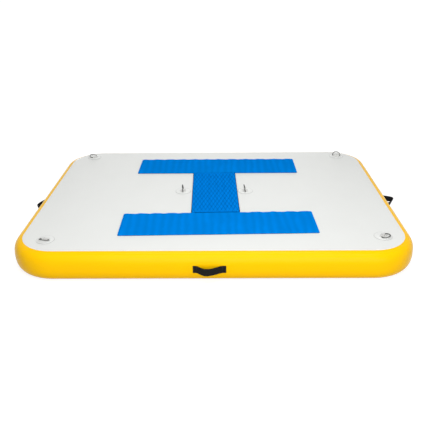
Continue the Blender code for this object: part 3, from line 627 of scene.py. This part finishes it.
def skin(name, loops, finish, ring=False, smooth_deg=40.0):
    """Skin a row of equal closed loops, capped or closed to a ring. Its UV map is in metres: along the loops,
    and from loop to loop."""
    bm = bmesh.new()
    layer = bm.loops.layers.uv.new("metres")
    count = len(loops[0])
    rows = [[bm.verts.new(point) for point in loop] for loop in loops]
    along = [0.0]
    for here in range(count):
        along.append(along[-1] + (Vector(loops[0][here]) - Vector(loops[0][(here + 1) % count])).length)
    across = [0.0]
    for low, high in zip(loops, loops[1:]):
        across.append(across[-1] + (Vector(low[0]) - Vector(high[0])).length)
    across.append(across[-1] + (Vector(loops[-1][0]) - Vector(loops[0][0])).length)
    spans = len(rows) if ring else len(rows) - 1
    for row in range(spans):
        low, high = rows[row], rows[(row + 1) % len(rows)]
        for here in range(count):
            after = (here + 1) % count
            face = bm.faces.new((low[here], low[after], high[after], high[here]))
            marks = ((along[here], across[row]), (along[here + 1], across[row]))
            marks += ((along[here + 1], across[row + 1]), (along[here], across[row + 1]))
            for corner, mark in zip(face.loops, marks):
                corner[layer].uv = mark
    if not ring:
        for row in (rows[0], rows[-1]):
            face = bm.faces.new(row)
            for corner in face.loops:
                corner[layer].uv = corner.vert.co.xy
    return finish_mesh(name, bm, finish, smooth_deg)


def dress(mesh, finish, smooth_deg):
    """Give a mesh its finish, and smooth it but for its sharp edges."""
    mesh.materials.clear()
    mesh.materials.append(finish)
    mesh.shade_smooth()
    mesh.set_sharp_from_angle(angle=math.radians(smooth_deg))


def finish_mesh(name, bm, finish, smooth_deg=40.0):
    """Turn a bmesh into an object with outward faces."""
    bmesh.ops.recalc_face_normals(bm, faces=bm.faces)
    mesh = bpy.data.meshes.new(name)
    bm.to_mesh(mesh)
    bm.free()
    dress(mesh, finish, smooth_deg)
    return add_object(name, mesh)


def placed(place, turn_deg, axis="Z"):
    """The matrix that turns a piece about an axis and sets it at a place."""
    return Matrix.Translation(place) @ Matrix.Rotation(math.radians(turn_deg), 4, axis)


def lay_map(piece, place_on_map):
    """Lay a piece's UV map anew, from where each corner is."""
    mesh = piece.data
    for corner, mark in zip(mesh.loops, mesh.uv_layers[0].data):
        mark.uv = place_on_map(mesh.vertices[corner.vertex_index].co)


def seen_from_above(place):
    """Map of a pad: its top as it lies, its sides folded out."""
    return place.x, place.y + place.z


def between(start, end, steps):
    """Evenly spaced places from start to end."""
    return [start + (end - start) * step / steps for step in range(steps + 1)]


# Deck, bottom and side wall

def wall_point(angle, proud):
    """Offset and height of the bulged wall's section, proud of the outer layer's face along its normal."""
    power = 2 / WALL_FULLNESS
    out_share = abs(math.cos(angle)) ** power
    up_share = abs(math.sin(angle)) ** power
    side = math.copysign(1.0, angle)
    slope = WALL_FULLNESS - 1
    normal = Vector((out_share ** slope / WALL_BULGE, up_share ** slope / WALL_HALF_HEIGHT)).normalized()
    offset = WALL_BULGE * out_share + proud * normal.x
    return offset, HEIGHT / 2 + side * (WALL_HALF_HEIGHT * up_share + proud * normal.y)


def shoulder_angle(tilt):
    """The section angle at which the wall's face tilts this far from level."""
    ratio = math.tan(tilt) * WALL_BULGE / WALL_HALF_HEIGHT
    return math.pi / 2 - math.atan(ratio ** (WALL_FULLNESS / (2 * (WALL_FULLNESS - 1))))


def platform_loop(offset, height):
    """The platform's outline at an offset outward from the edge of its flat top."""
    points = outline_points(
        FLAT_HALF_X + offset, FLAT_HALF_Y + offset, FLAT_CORNER + offset, CORNER_STEPS, STRAIGHT_STEPS
    )
    return [(point.x, point.y, height) for point in points]


def wall_section_angles():
    """Section angles from the top of the bulge to the bottom, closer together at the shoulders."""
    steps = between(-1.0, 1.0, WALL_STEPS)
    return [-math.copysign(1 - (1 - abs(share)) ** SHOULDER_CROWDING, share) * math.pi / 2 for share in steps]


def pucker(point, angle):
    """How far the wall draws in where its cloth is gathered round a corner, near the two seams."""
    corner_x = FLAT_HALF_X - FLAT_CORNER
    corner_y = FLAT_HALF_Y - FLAT_CORNER
    if abs(point[0]) < corner_x or abs(point[1]) < corner_y:
        return 0.0
    turn = math.atan2(abs(point[1]) - corner_y, abs(point[0]) - corner_x)
    swell = math.sin(2 * turn) ** 0.5
    near_seam = max(0.0, abs(math.sin(angle)) - (1 - PUCKER_REACH)) / PUCKER_REACH
    beat = math.sin(2 * math.pi * turn * CORNER_RADIUS / PUCKER_PITCH)
    return PUCKER_DEPTH * swell * near_seam * (1 - near_seam) * 4 * beat


def make_wall():
    """The yellow cloth all the way round, with the hole for the valve."""
    angles = wall_section_angles()
    outer = []
    for angle in angles:
        offset, height = wall_point(angle, 0.0)
        loop = []
        for x, y, z in platform_loop(offset, height):
            drawn = pucker((x, y), angle)
            outward = Vector((x, y)).normalized()
            loop.append((x - outward.x * drawn, y - outward.y * drawn, z))
        outer.append(loop)
    top = HEIGHT / 2 + WALL_HALF_HEIGHT
    loops = [platform_loop(-WALL_LAP, top)] + outer + [platform_loop(-WALL_LAP, HEIGHT - top)]
    loops += [platform_loop(-WALL_LAP, HEIGHT - top + SHEET)]
    loops += [platform_loop(*wall_point(angle, -SHEET)) for angle in reversed(angles)]
    loops += [platform_loop(-WALL_LAP, top - SHEET)]
    wall = skin("wall_cloth", loops, MATERIALS["wall"], ring=True)
    cut_valve_hole(wall)
    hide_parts("side_wall_outer")
    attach(wall, "platform")


def cut_valve_hole(wall):
    """Cut the round hole that the valve's barrel passes through."""
    bm = bmesh.new()
    round_hole = {"radius1": VALVE_HOLE_RADIUS, "radius2": VALVE_HOLE_RADIUS, "segments": VALVE_HOLE_STEPS}
    bmesh.ops.create_cone(bm, cap_ends=True, depth=WALL_BULGE, **round_hole)
    cutter = finish_mesh("valve_hole_cutter", bm, MATERIALS["wall"])
    cutter.data.transform(placed((VALVE_X, WIDTH / 2, HEIGHT / 2), 90.0, "X"))
    cut = wall.modifiers.new("valve_hole", "BOOLEAN")
    cut.object = cutter
    cut.operation = "DIFFERENCE"
    cut.solver = "EXACT"
    evaluated = wall.evaluated_get(bpy.context.evaluated_depsgraph_get())
    holed = bpy.data.meshes.new_from_object(evaluated)
    wall.modifiers.clear()
    wall.data = holed
    bpy.data.objects.remove(cutter, do_unlink=True)


def make_face(name, side, node):
    """The deck or the bottom: flat cloth, its edge glued down over the wall's shoulder."""
    lap = shoulder_angle(math.radians(LAP_TILT_DEG))
    angles = between(lap, math.pi / 2, LAP_STEPS)
    face_loops = [wall_point(angle, SEAT_GAP + SHEET) for angle in angles]
    edge = wall_point(lap, SEAT_GAP + SHEET * 0.5)
    under = wall_point(lap, SEAT_GAP)
    rim = [(edge[0] + SHEET * RIM_BULGE, edge[1]), (face_loops[0][0], face_loops[0][1] - SHEET * RIM_DROP)]
    section = [under] + rim + face_loops[1:]
    loops = [platform_loop(offset, HEIGHT / 2 + side * (height - HEIGHT / 2)) for offset, height in section]
    under_middle = wall_point(math.pi / 2, SEAT_GAP)[1]
    loops.insert(0, platform_loop(0.0, HEIGHT / 2 + side * (under_middle - HEIGHT / 2)))
    cloth = skin(name, loops, MATERIALS["deck"], smooth_deg=50.0)
    lay_map(cloth, lambda place: place.xy)
    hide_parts(node)
    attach(cloth, "platform")


# Foam pads

def edge_wave(x, seed):
    """The slow uneven wave along a bar's rear edge, from -1 to 1."""
    slow = math.sin(2 * math.pi * x / REAR_EDGE_PITCH + math.sin(REAR_EDGE_DRIFT * x + seed))
    fine = math.sin(2 * math.pi * x / (REAR_EDGE_PITCH * FINE_WAVE_PITCH_SHARE) + seed)
    return (slow + FINE_WAVE_SHARE * fine) / (1 + FINE_WAVE_SHARE)


def make_bar(name, node, x, y, turn_deg, seed, joined):
    """A long foam pad with rounded upper edges. Its rear edge waves and lifts, but not where it is joined."""
    rows = [(0.0, 0.0), (0.0, PAD_THICKNESS - PAD_EDGE)]
    rows += [
        (PAD_EDGE * (1 - math.cos(angle)), PAD_THICKNESS - PAD_EDGE * (1 - math.sin(angle)))
        for angle in between(math.pi / 8, math.pi / 2, PAD_EDGE_STEPS)
    ]
    rows += [(REAR_EDGE_STRIP * share, PAD_THICKNESS) for share in EDGE_STRIP_ROWS]
    joint = DIAMOND_WIDTH * DIAMOND_COLUMNS / 2 + PAD_CORNER if joined else 0.0
    loops = []
    for inward, height in rows:
        corner = max(PAD_CORNER - inward, PAD_EDGE)
        loop = []
        half_size = (BAR_LENGTH / 2 - inward, BAR_WIDTH / 2 - inward)
        for point in outline_points(*half_size, corner, BAR_CORNER_STEPS, BAR_SIDE_STEPS):
            reach = max(0.0, min(1.0, (BAR_LENGTH / 2 - PAD_CORNER - abs(point.x)) / PAD_CORNER))
            if joined:
                reach *= max(0.0, min(1.0, (abs(point.x + x - CENTRE_PAD_SHIFT) - joint) / PAD_CORNER))
            if point.y < 0:
                reach = 0.0
            fade = max(0.0, 1 - inward / REAR_EDGE_STRIP)
            wave_here = edge_wave(point.x, seed)
            drawn = reach * fade * REAR_EDGE_WAVE * (wave_here - 1) / 2
            lifted = reach * fade * fade * REAR_EDGE_LIFT * (wave_here + 1) / 2 * height / PAD_THICKNESS
            loop.append((point.x, point.y + drawn, height + lifted))
        loops.append(loop)
    bar = skin(name, loops, MATERIALS["bar"], smooth_deg=50.0)
    lay_map(bar, seen_from_above)
    bar.data.transform(placed((x, y, PAD_SEAT), turn_deg))
    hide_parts(node)
    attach(bar, "platform")


def make_diamond_pad():
    """The centre pad. Crossing grooves leave raised diamonds with rounded edges."""
    half_y = (REAR_BAR_Y - FRONT_BAR_Y - BAR_WIDTH) / 2 - CENTRE_PAD_GAP
    half_x = DIAMOND_WIDTH * DIAMOND_COLUMNS / 2
    diamond_length = 2 * (half_y - CENTRE_PAD_RIM) / DIAMOND_ROWS
    field_width = 2 * (half_x - CENTRE_PAD_RIM) / DIAMOND_COLUMNS
    floor = PAD_THICKNESS - GROOVE_DEPTH
    bm = bmesh.new()
    bm.loops.layers.uv.new("metres")
    corners = ((-half_x, -half_y), (half_x, -half_y), (half_x, half_y), (-half_x, half_y))
    base = bm.faces.new([bm.verts.new((x, y, 0.0)) for x, y in corners])
    top = bmesh.ops.extrude_face_region(bm, geom=[base])
    lifted = [item for item in top["geom"] if isinstance(item, bmesh.types.BMVert)]
    bmesh.ops.translate(bm, verts=lifted, vec=(0.0, 0.0, floor))
    upper = next(item for item in top["geom"] if isinstance(item, bmesh.types.BMFace))
    bmesh.ops.inset_region(bm, faces=[upper], thickness=CENTRE_PAD_RIM)
    field = [upper]
    reach = (DIAMOND_COLUMNS + DIAMOND_ROWS) // 2
    for lean in (-1, 1):
        normal = Vector((1 / field_width, lean / diamond_length, 0.0)).normalized()
        for line in range(1 - reach, reach):
            start = Vector((line * field_width, 0.0, floor))
            pieces = field + list({edge for face in field for edge in face.edges})
            pieces += list({vert for face in field for vert in face.verts})
            cut = bmesh.ops.bisect_plane(bm, geom=pieces, dist=CUT_TOLERANCE, plane_co=start, plane_no=normal)
            field = [item for item in cut["geom"] if isinstance(item, bmesh.types.BMFace)]
    for inward, share in DIAMOND_INSETS:
        bmesh.ops.inset_individual(bm, faces=field, thickness=inward, depth=GROOVE_DEPTH * share)
    # no groove runs along the pad's edge, so the field's outer line stands as high as the diamonds
    for vertex in bm.verts:
        from_edge = min(half_x - abs(vertex.co.x), half_y - abs(vertex.co.y))
        if abs(from_edge - CENTRE_PAD_RIM) < CENTRE_PAD_RIM / 10:
            vertex.co.z = PAD_THICKNESS
    pad = finish_mesh("diamond_pad", bm, MATERIALS["diamonds"], smooth_deg=25.0)
    lay_map(pad, seen_from_above)
    place = (CENTRE_PAD_SHIFT, (REAR_BAR_Y + FRONT_BAR_Y) / 2, PAD_SEAT)
    pad.data.transform(placed(place, CENTRE_PAD_TURN_DEG))
    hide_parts("traction_pad_centre")
    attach(pad, "platform")


# D-rings

def d_ring_points():
    """Middle line of a D-ring: straight bar on the Y axis through the origin, arc towards +X."""
    inner = RING_HALF_WIDTH - RING_CORNER
    points = [(0.0, y) for y in between(-inner, inner, RING_CORNER_STEPS)]
    for angle in between(0.0, math.pi / 2, RING_CORNER_STEPS)[1:]:
        points.append((RING_CORNER * (1 - math.cos(angle)), inner + RING_CORNER * math.sin(angle)))
    depth = RING_DEPTH - RING_CORNER
    for angle in between(0.0, math.pi, RING_ARC_STEPS)[1:]:
        points.append((RING_CORNER + depth * math.sin(angle), RING_HALF_WIDTH * math.cos(angle)))
    for angle in between(math.pi / 2, 0.0, RING_CORNER_STEPS)[1:-1]:
        points.append((RING_CORNER * (1 - math.cos(angle)), -inner - RING_CORNER * math.sin(angle)))
    return points


def round_wire(name, points, radius, finish):
    """A closed round wire along a row of points, as a curve."""
    curve = bpy.data.curves.new(name, "CURVE")
    curve.dimensions = "3D"
    curve.bevel_depth = radius
    curve.bevel_resolution = WIRE_ROUNDNESS
    curve.use_fill_caps = True
    spline = curve.splines.new("POLY")
    spline.points.add(len(points) - 1)
    for slot, point in zip(spline.points, points):
        slot.co = (*point, 1.0)
    spline.use_cyclic_u = True
    curve.materials.append(finish)
    return add_object(name, curve)


def turned(name, profile, finish):
    """Revolve (radius, height) points about Z."""
    angles = [2 * math.pi * step / TURNED_STEPS for step in range(TURNED_STEPS)]
    loops = [[(radius * math.cos(a), radius * math.sin(a), z) for a in angles] for radius, z in profile]
    return skin(name, loops, finish)


def rounded_edge(radius, height, size):
    """Profile points of a quarter round whose outside corner would be at this radius and height."""
    return [
        (radius - size * (1 - math.cos(angle)), height - size * (1 - math.sin(angle)))
        for angle in between(0.0, math.pi / 2, ROUND_STEPS)
    ]


def pressed_bead(radius, height, bead):
    """Profile points of a groove pressed into a flat face, inward from its edge at this radius."""
    start, half_width, depth = bead
    middle = radius - start - half_width
    return [(middle + half_width, height), (middle, height - depth), (middle - half_width, height)]


def make_ring_patch(name, frame_matrix):
    """Round patch with a welded collar, a pressed bead at its rim and soft edges."""
    thick = RING_PATCH_THICKNESS
    collar = thick + RING_PATCH_COLLAR_RISE
    profile = [(RING_PATCH_RADIUS, 0.0)]
    profile += rounded_edge(RING_PATCH_RADIUS, thick, RING_PATCH_EDGE)
    profile += pressed_bead(RING_PATCH_RADIUS, thick, PATCH_BEAD)
    profile += [(RING_PATCH_COLLAR_RADIUS + COLLAR_FOOT, thick)]
    profile += rounded_edge(RING_PATCH_COLLAR_RADIUS, collar, RING_PATCH_EDGE)
    profile += pressed_bead(RING_PATCH_COLLAR_RADIUS, collar, COLLAR_BEAD)
    patch = turned("ring_patch_" + name, profile, MATERIALS["patch"])
    # the flat cap inside the collar is kept clear of the map's edge, where the painted edge shade is
    for mark in patch.data.uv_layers[0].data:
        if mark.uv.y < 0 or mark.uv.x < 0:
            mark.uv.y = abs(mark.uv.y) + RING_PATCH_RADIUS
    patch.data.transform(frame_matrix)
    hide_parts("d_ring_patch_" + name)
    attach(patch, "platform")
    return collar


def loop_section(bar_height, low):
    """Middle line of the webbing loop's section: tail, over the ring's bar, tail."""
    middle = RING_WIRE_RADIUS + LOOP_CLEARANCE + LOOP_THICKNESS / 2
    foot = low + LOOP_THICKNESS / 2
    tail = [(x, foot) for x in between(LOOP_TAIL, middle + LOOP_FILLET, LOOP_TAIL_STEPS)]
    tail += [
        (middle + LOOP_FILLET * (1 - math.sin(angle)), foot + LOOP_FILLET * (1 - math.cos(angle)))
        for angle in between(0.0, math.pi / 2, ROUND_STEPS)[1:]
    ]
    over = [
        (middle * math.cos(angle), bar_height + middle * math.sin(angle))
        for angle in between(0.0, math.pi, LOOP_ARC_STEPS)
    ]
    return tail + over + [(-x, height) for x, height in reversed(tail)]


def band(name, line, thickness, widths, finish, leans=None):
    """A flat band whose middle line lies in the XZ plane, its width along Y, with rounded edges. It can lean
    about its own line, by an angle for each point."""
    half = thickness / 2
    round_y = thickness * BAND_EDGE_SHARE
    loops = []
    for index, here in enumerate(line):
        before = Vector(line[max(index - 1, 0)])
        after = Vector(line[min(index + 1, len(line) - 1)])
        tangent = (after - before).normalized()
        normal = Vector((-tangent.y, tangent.x))
        section = []
        lean = leans[index] if leans else 0.0
        for side_y, side_n in CORNERS:
            order = (0.0, 1.0) if side_y * side_n > 0 else (1.0, 0.0)
            for share in between(*order, BAND_EDGE_STEPS):
                angle = share * math.pi / 2
                y = side_y * (widths[index] / 2 - round_y + round_y * math.cos(angle))
                n = side_n * half * math.sin(angle)
                leant = n * math.cos(lean) - y * math.sin(lean)
                section.append((y * math.cos(lean) + n * math.sin(lean), leant))
        loops.append([(here[0] + normal.x * n, y, here[1] + normal.y * n) for y, n in section])
    return skin(name, loops, finish, smooth_deg=60.0)


def make_ring(name, x, y, heading, lift):
    """A D-ring with its patch and its webbing loop."""
    frame_matrix = placed((x, y, PAD_SEAT), heading)
    collar = make_ring_patch(name, frame_matrix)
    bar_height = collar + SEAT_GAP + RING_WIRE_RADIUS
    line = loop_section(bar_height, collar + SEAT_GAP)
    widths = [2 * LOOP_HALF_WIDTH] * len(line)
    loop = band("ring_loop_" + name, line, LOOP_THICKNESS, widths, MATERIALS["white_webbing"])
    loop.data.transform(frame_matrix)
    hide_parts("d_ring_loop_" + name)
    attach(loop, "platform")
    points = [(px, py, 0.0) for px, py in d_ring_points()]
    ring = round_wire("steel_ring_" + name, points, RING_WIRE_RADIUS, MATERIALS["steel"])
    ring.matrix_world = frame_matrix @ placed((0.0, 0.0, bar_height), -lift, "Y")
    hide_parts("d_ring_" + name)
    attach(ring, "ring_" + name)


# Carry handles

def strap_rise(s, bow, apex):
    """How far the strap's middle line stands off its glued ends, s along it from the handle's middle."""
    if abs(s) >= STRAP_FOOT:
        return 0.0
    share = (s - apex) / (STRAP_FOOT - apex) if s > apex else (apex - s) / (STRAP_FOOT + apex)
    return bow * ((1 + math.cos(math.pi * share)) / 2) ** STRAP_FULLNESS


def swing_places(bow, apex):
    """Where the strap, on each side of its bow, stands off as far as its swing axis."""
    hump = (STRAP_SWING_RISE / bow) ** (1 / STRAP_FULLNESS)
    share = math.acos(2 * hump - 1) / math.pi
    return apex - share * (STRAP_FOOT + apex), apex + share * (STRAP_FOOT - apex)


def make_handle(station):
    """A webbing handle in two halves that meet at the top of the bow, on a patch glued to the wall."""
    name, side_x, side_y, turn, shift, bow, apex = station
    place = placed((side_x * LENGTH / 2, side_y * WIDTH / 2, HEIGHT / 2), turn)
    place = place @ Matrix.Translation((shift, 0.0, 0.0))
    patch = handle_patch("handle_backing_" + name)
    patch.data.transform(place)
    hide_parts("handle_patch_" + name)
    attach(patch, "platform")
    tab = 2 * SEAT_GAP + HANDLE_PATCH_THICKNESS + STRAP_THICKNESS / 2
    low_swing, high_swing = swing_places(bow, apex)
    lean_deg, folded = STRAP_BENDS.get(name, (0.0, 0.0))
    # a band has its line in XZ and its width along Y, and a handle its line in XY and its width along Z
    stand = Matrix(((1, 0, 0, 0), (0, 0, 1, 0), (0, -1, 0, 0), (0, 0, 0, 1)))
    for end, swing, label, nodes in (
        (-STRAP_SPAN / 2, low_swing, "a", ("handle_end_" + name + "_a", "handle_grip_" + name)),
        (STRAP_SPAN / 2, high_swing, "b", ("handle_end_" + name + "_b",)),
    ):
        places = between(end, apex, STRAP_STATIONS)
        line = [(s, tab + strap_rise(s, bow, apex)) for s in places]
        risen = [strap_rise(s, bow, apex) / bow for s in places]
        widths = [STRAP_WIDTH * (1 - folded * share) for share in risen]
        # the two halves are laid from their own ends, so one leans the other way round its line
        leans = [math.copysign(math.radians(lean_deg) * share, apex - end) for share in risen]
        piece = "handle_strap_" + name + "_" + label
        half = band(piece, line, STRAP_THICKNESS, widths, MATERIALS["black_webbing"], leans)
        if end > apex:
            # this half's outer face lies half way round its section
            for mark in half.data.uv_layers[0].data:
                mark.uv.x -= STRAP_HALF_GIRTH
        half.data.transform(place @ stand)
        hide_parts(*nodes)
        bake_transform(half)


def handle_patch(name):
    """A thin patch that follows the wall's bulge, its corners and edges rounded."""
    thick = HANDLE_PATCH_THICKNESS
    rings = [(inward * thick, proud * thick) for inward, proud in HANDLE_PATCH_EDGE]
    rings += [(inward, thick) for inward in HANDLE_PATCH_ROWS]
    loops = []
    for inward, proud in rings:
        half_size = (HANDLE_PATCH_HALF_LENGTH - inward, HANDLE_PATCH_HALF_HEIGHT - inward)
        corner = max(HANDLE_PATCH_CORNER - inward, HANDLE_PATCH_LEAST_CORNER)
        points = outline_points(*half_size, corner, HANDLE_PATCH_CORNER_STEPS, HANDLE_PATCH_SIDE_STEPS)
        loop = []
        for point in points:
            offset, height = wall_at_height(point.y, SEAT_GAP + proud)
            loop.append((point.x, offset - WALL_BULGE, height - HEIGHT / 2))
        loops.append(loop)
    return skin(name, loops, MATERIALS["wall"], smooth_deg=50.0)


def wall_at_height(rise, proud):
    """Offset and height of the wall's face where it stands this high above or below its middle."""
    share = min(abs(rise) / WALL_HALF_HEIGHT, 1.0)
    angle = math.copysign(math.asin(share ** (WALL_FULLNESS / 2)), rise)
    return wall_point(angle, proud)


# Valve spring

def make_valve_spring():
    """The coil between the valve's web and its push button, which on the real valve shortens as the button is
    pushed in; it is made at the length of the spring's box.
    """
    low, high = (Vector(corner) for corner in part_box("valve_spring"))
    middle = (low + high) / 2
    coil_radius = (high.x - low.x) / 2 - SPRING_WIRE_RADIUS
    rise = high.y - low.y - 2 * SPRING_WIRE_RADIUS
    loops = []
    for share in between(0.0, 1.0, round(SPRING_TURNS * SPRING_STEPS_PER_TURN)):
        turn = 2 * math.pi * SPRING_TURNS * share
        loop = []
        for side in range(SPRING_SIDES):
            angle = 2 * math.pi * side / SPRING_SIDES
            radius = coil_radius + SPRING_WIRE_RADIUS * math.cos(angle)
            y = low.y + SPRING_WIRE_RADIUS * (1 + math.sin(angle)) + rise * share
            loop.append((middle.x + radius * math.cos(turn), y, middle.z + radius * math.sin(turn)))
        loops.append(loop)
    coil = skin("valve_coil", loops, MATERIALS["steel"])
    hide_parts("valve_spring")
    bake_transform(coil)


# Pieces that keep their solids

# a finish, and the nodes that get it
KEPT_NODES = (
    ("liner", ("side_wall_liner",)),
    ("yarn", [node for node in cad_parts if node.startswith("drop_stitch_row")]),
    ("plastic", ("valve_body", "valve_clamp_ring", "valve_poppet", "valve_cap")),
    ("rubber", ("valve_gasket", "valve_poppet_seal", "valve_cap_seal")),
)


def dress_frame():
    """Finishes for the pieces inside the platform and for the valve."""
    for finish, nodes in KEPT_NODES:
        for node in nodes:
            dress(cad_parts[node].data, MATERIALS[finish], smooth_deg=35.0)


# Studio

CAMERA_PLACE = (0.0512, -3.0088, 1.4343)
CAMERA_PITCH_DEG = 25.478
CAMERA_YAW_DEG = -0.912
CAMERA_ROLL_DEG = -0.635
CAMERA_LENS = 46.585
SENSOR_WIDTH = 36.0
PURE_WHITE = (1.0, 1.0, 1.0, 1.0)
WORLD_LIGHT = 0.28
FLOOR_GREY = 0.40
FLOOR_ROUGHNESS = 0.9
FLOOR_SIZE = 40.0
# the floor's own glow near the object and far off, and the distances between which it grows
FLOOR_GLOW = 0.78
FLOOR_FAR_GLOW = 0.94
FLOOR_NEAR = 1.6
FLOOR_FAR = 4.0
# name, place, the point it faces, width and height, and power in watts
LAMPS = (
    ("key_light", (0.1, 0.2, 2.9), (0.1, 0.1, 0.0), (2.2, 1.6), 32.0),
    ("high_strip", (0.2, -2.0, 2.9), (0.0, -0.7, 0.1), (3.0, 0.4), 34.0),
    ("low_strip", (0.2, -3.5, 1.9), (0.0, -0.7, 0.1), (3.0, 0.4), 44.0),
    ("front_light", (0.9, -4.2, 0.9), (0.0, -0.7, 0.1), (4.2, 1.2), 52.0),
    ("back_light", (-0.3, 4.0, 0.5), (0.0, 0.7, 0.1), (3.6, 0.7), 44.0),
)


def make_camera():
    """The camera that fits the photograph's outline."""
    pitch = math.radians(CAMERA_PITCH_DEG)
    yaw = math.radians(CAMERA_YAW_DEG)
    roll = math.radians(CAMERA_ROLL_DEG)
    ahead = Vector((math.sin(yaw) * math.cos(pitch), math.cos(yaw) * math.cos(pitch), -math.sin(pitch)))
    level = Vector((math.cos(yaw), -math.sin(yaw), 0.0))
    upward = level.cross(ahead)
    right = level * math.cos(roll) + upward * math.sin(roll)
    up = upward * math.cos(roll) - level * math.sin(roll)
    data = bpy.data.cameras.new("camera")
    data.sensor_width = SENSOR_WIDTH
    data.lens = CAMERA_LENS
    made = add_object("camera", data)
    made.matrix_world = Matrix.Translation(CAMERA_PLACE) @ Matrix((right, up, -ahead)).transposed().to_4x4()
    bpy.context.scene.camera = made


def soft_box(name, place, aim, size, power):
    """A rectangular soft lamp that faces a point."""
    data = bpy.data.lights.new(name, "AREA")
    data.shape = "RECTANGLE"
    data.size, data.size_y = size
    data.energy = power
    made = add_object(name, data)
    made.location = place
    made.rotation_euler = (Vector(aim) - Vector(place)).to_track_quat("-Z", "Y").to_euler()


def seen_by_eye(tree):
    """1 for what the camera sees, also through glass or in a reflection, and 0 for light on the object."""
    path = tree.nodes.new("ShaderNodeLightPath")
    seen = maths(tree, "MAXIMUM", path.outputs["Is Camera Ray"], path.outputs["Is Glossy Ray"])
    return maths(tree, "MAXIMUM", seen, path.outputs["Is Transmission Ray"])


def make_floor():
    """A plain floor, white to the camera and to reflections, that keeps the object's shadow."""
    bm = bmesh.new()
    bmesh.ops.create_grid(bm, x_segments=1, y_segments=1, size=FLOOR_SIZE)
    made, tree, shader = start_material("floor_white", (FLOOR_GREY, FLOOR_GREY, FLOOR_GREY), FLOOR_ROUGHNESS)
    shader.inputs["Specular IOR Level"].default_value = 0.0
    away = add_node(tree, "ShaderNodeVectorMath", operation="LENGTH", inputs={0: coordinates(tree, "Object")})
    # farther from the lamps the floor makes up for the light that it doesn't get
    fade = {"Value": away.outputs["Value"], "From Min": FLOOR_NEAR, "From Max": FLOOR_FAR}
    fade.update({"To Min": FLOOR_GLOW, "To Max": FLOOR_FAR_GLOW})
    level = add_node(tree, "ShaderNodeMapRange", inputs=fade)
    strength = maths(tree, "MULTIPLY", seen_by_eye(tree), level.outputs[0])
    glow = add_node(tree, "ShaderNodeEmission", inputs={"Color": PURE_WHITE, "Strength": strength})
    both = add_node(tree, "ShaderNodeAddShader", inputs={0: shader.outputs[0], 1: glow.outputs[0]})
    tree.links.new(both.outputs[0], tree.nodes["Material Output"].inputs["Surface"])
    finish_mesh("studio_floor", bm, made)


def make_world():
    """White to the camera and to reflections, a softer even light for everything else."""
    world = bpy.data.worlds.new("studio")
    bpy.context.scene.world = world
    world.use_nodes = True
    tree = world.node_tree
    background = tree.nodes["Background"]
    strength = maths(tree, "MULTIPLY_ADD", seen_by_eye(tree), 1.0 - WORLD_LIGHT, WORLD_LIGHT)
    tree.links.new(strength, background.inputs["Strength"])
    background.inputs["Color"].default_value = PURE_WHITE


make_camera()
make_wall()
make_face("deck_cloth", 1, "deck_skin")
make_face("bottom_cloth", -1, "bottom_skin")
make_bar(
    "rear_foam_bar", "traction_pad_rear", REAR_BAR_SHIFT, REAR_BAR_Y, turn_deg=0.0, seed=1.0, joined=False
)
make_bar(
    "front_foam_bar", "traction_pad_front", FRONT_BAR_SHIFT, FRONT_BAR_Y, turn_deg=FRONT_BAR_TURN_DEG,
    seed=2.3, joined=True,
)
make_diamond_pad()
for name, side_x, side_y, inset_x, inset_y, heading, lift in CORNER_RINGS:
    make_ring(name, side_x * (LENGTH / 2 - inset_x), side_y * (WIDTH / 2 - inset_y), heading, lift)
for name, side_x, heading, lift in CENTRE_RINGS:
    make_ring(name, side_x * CENTRE_RING_X, CENTRE_RING_Y, heading, lift)
for station in HANDLE_SIDES:
    make_handle(station)
make_valve_spring()
dress_frame()
for lamp in LAMPS:
    soft_box(*lamp)
make_floor()
make_world()
bpy.context.scene.view_settings.view_transform = "Standard"
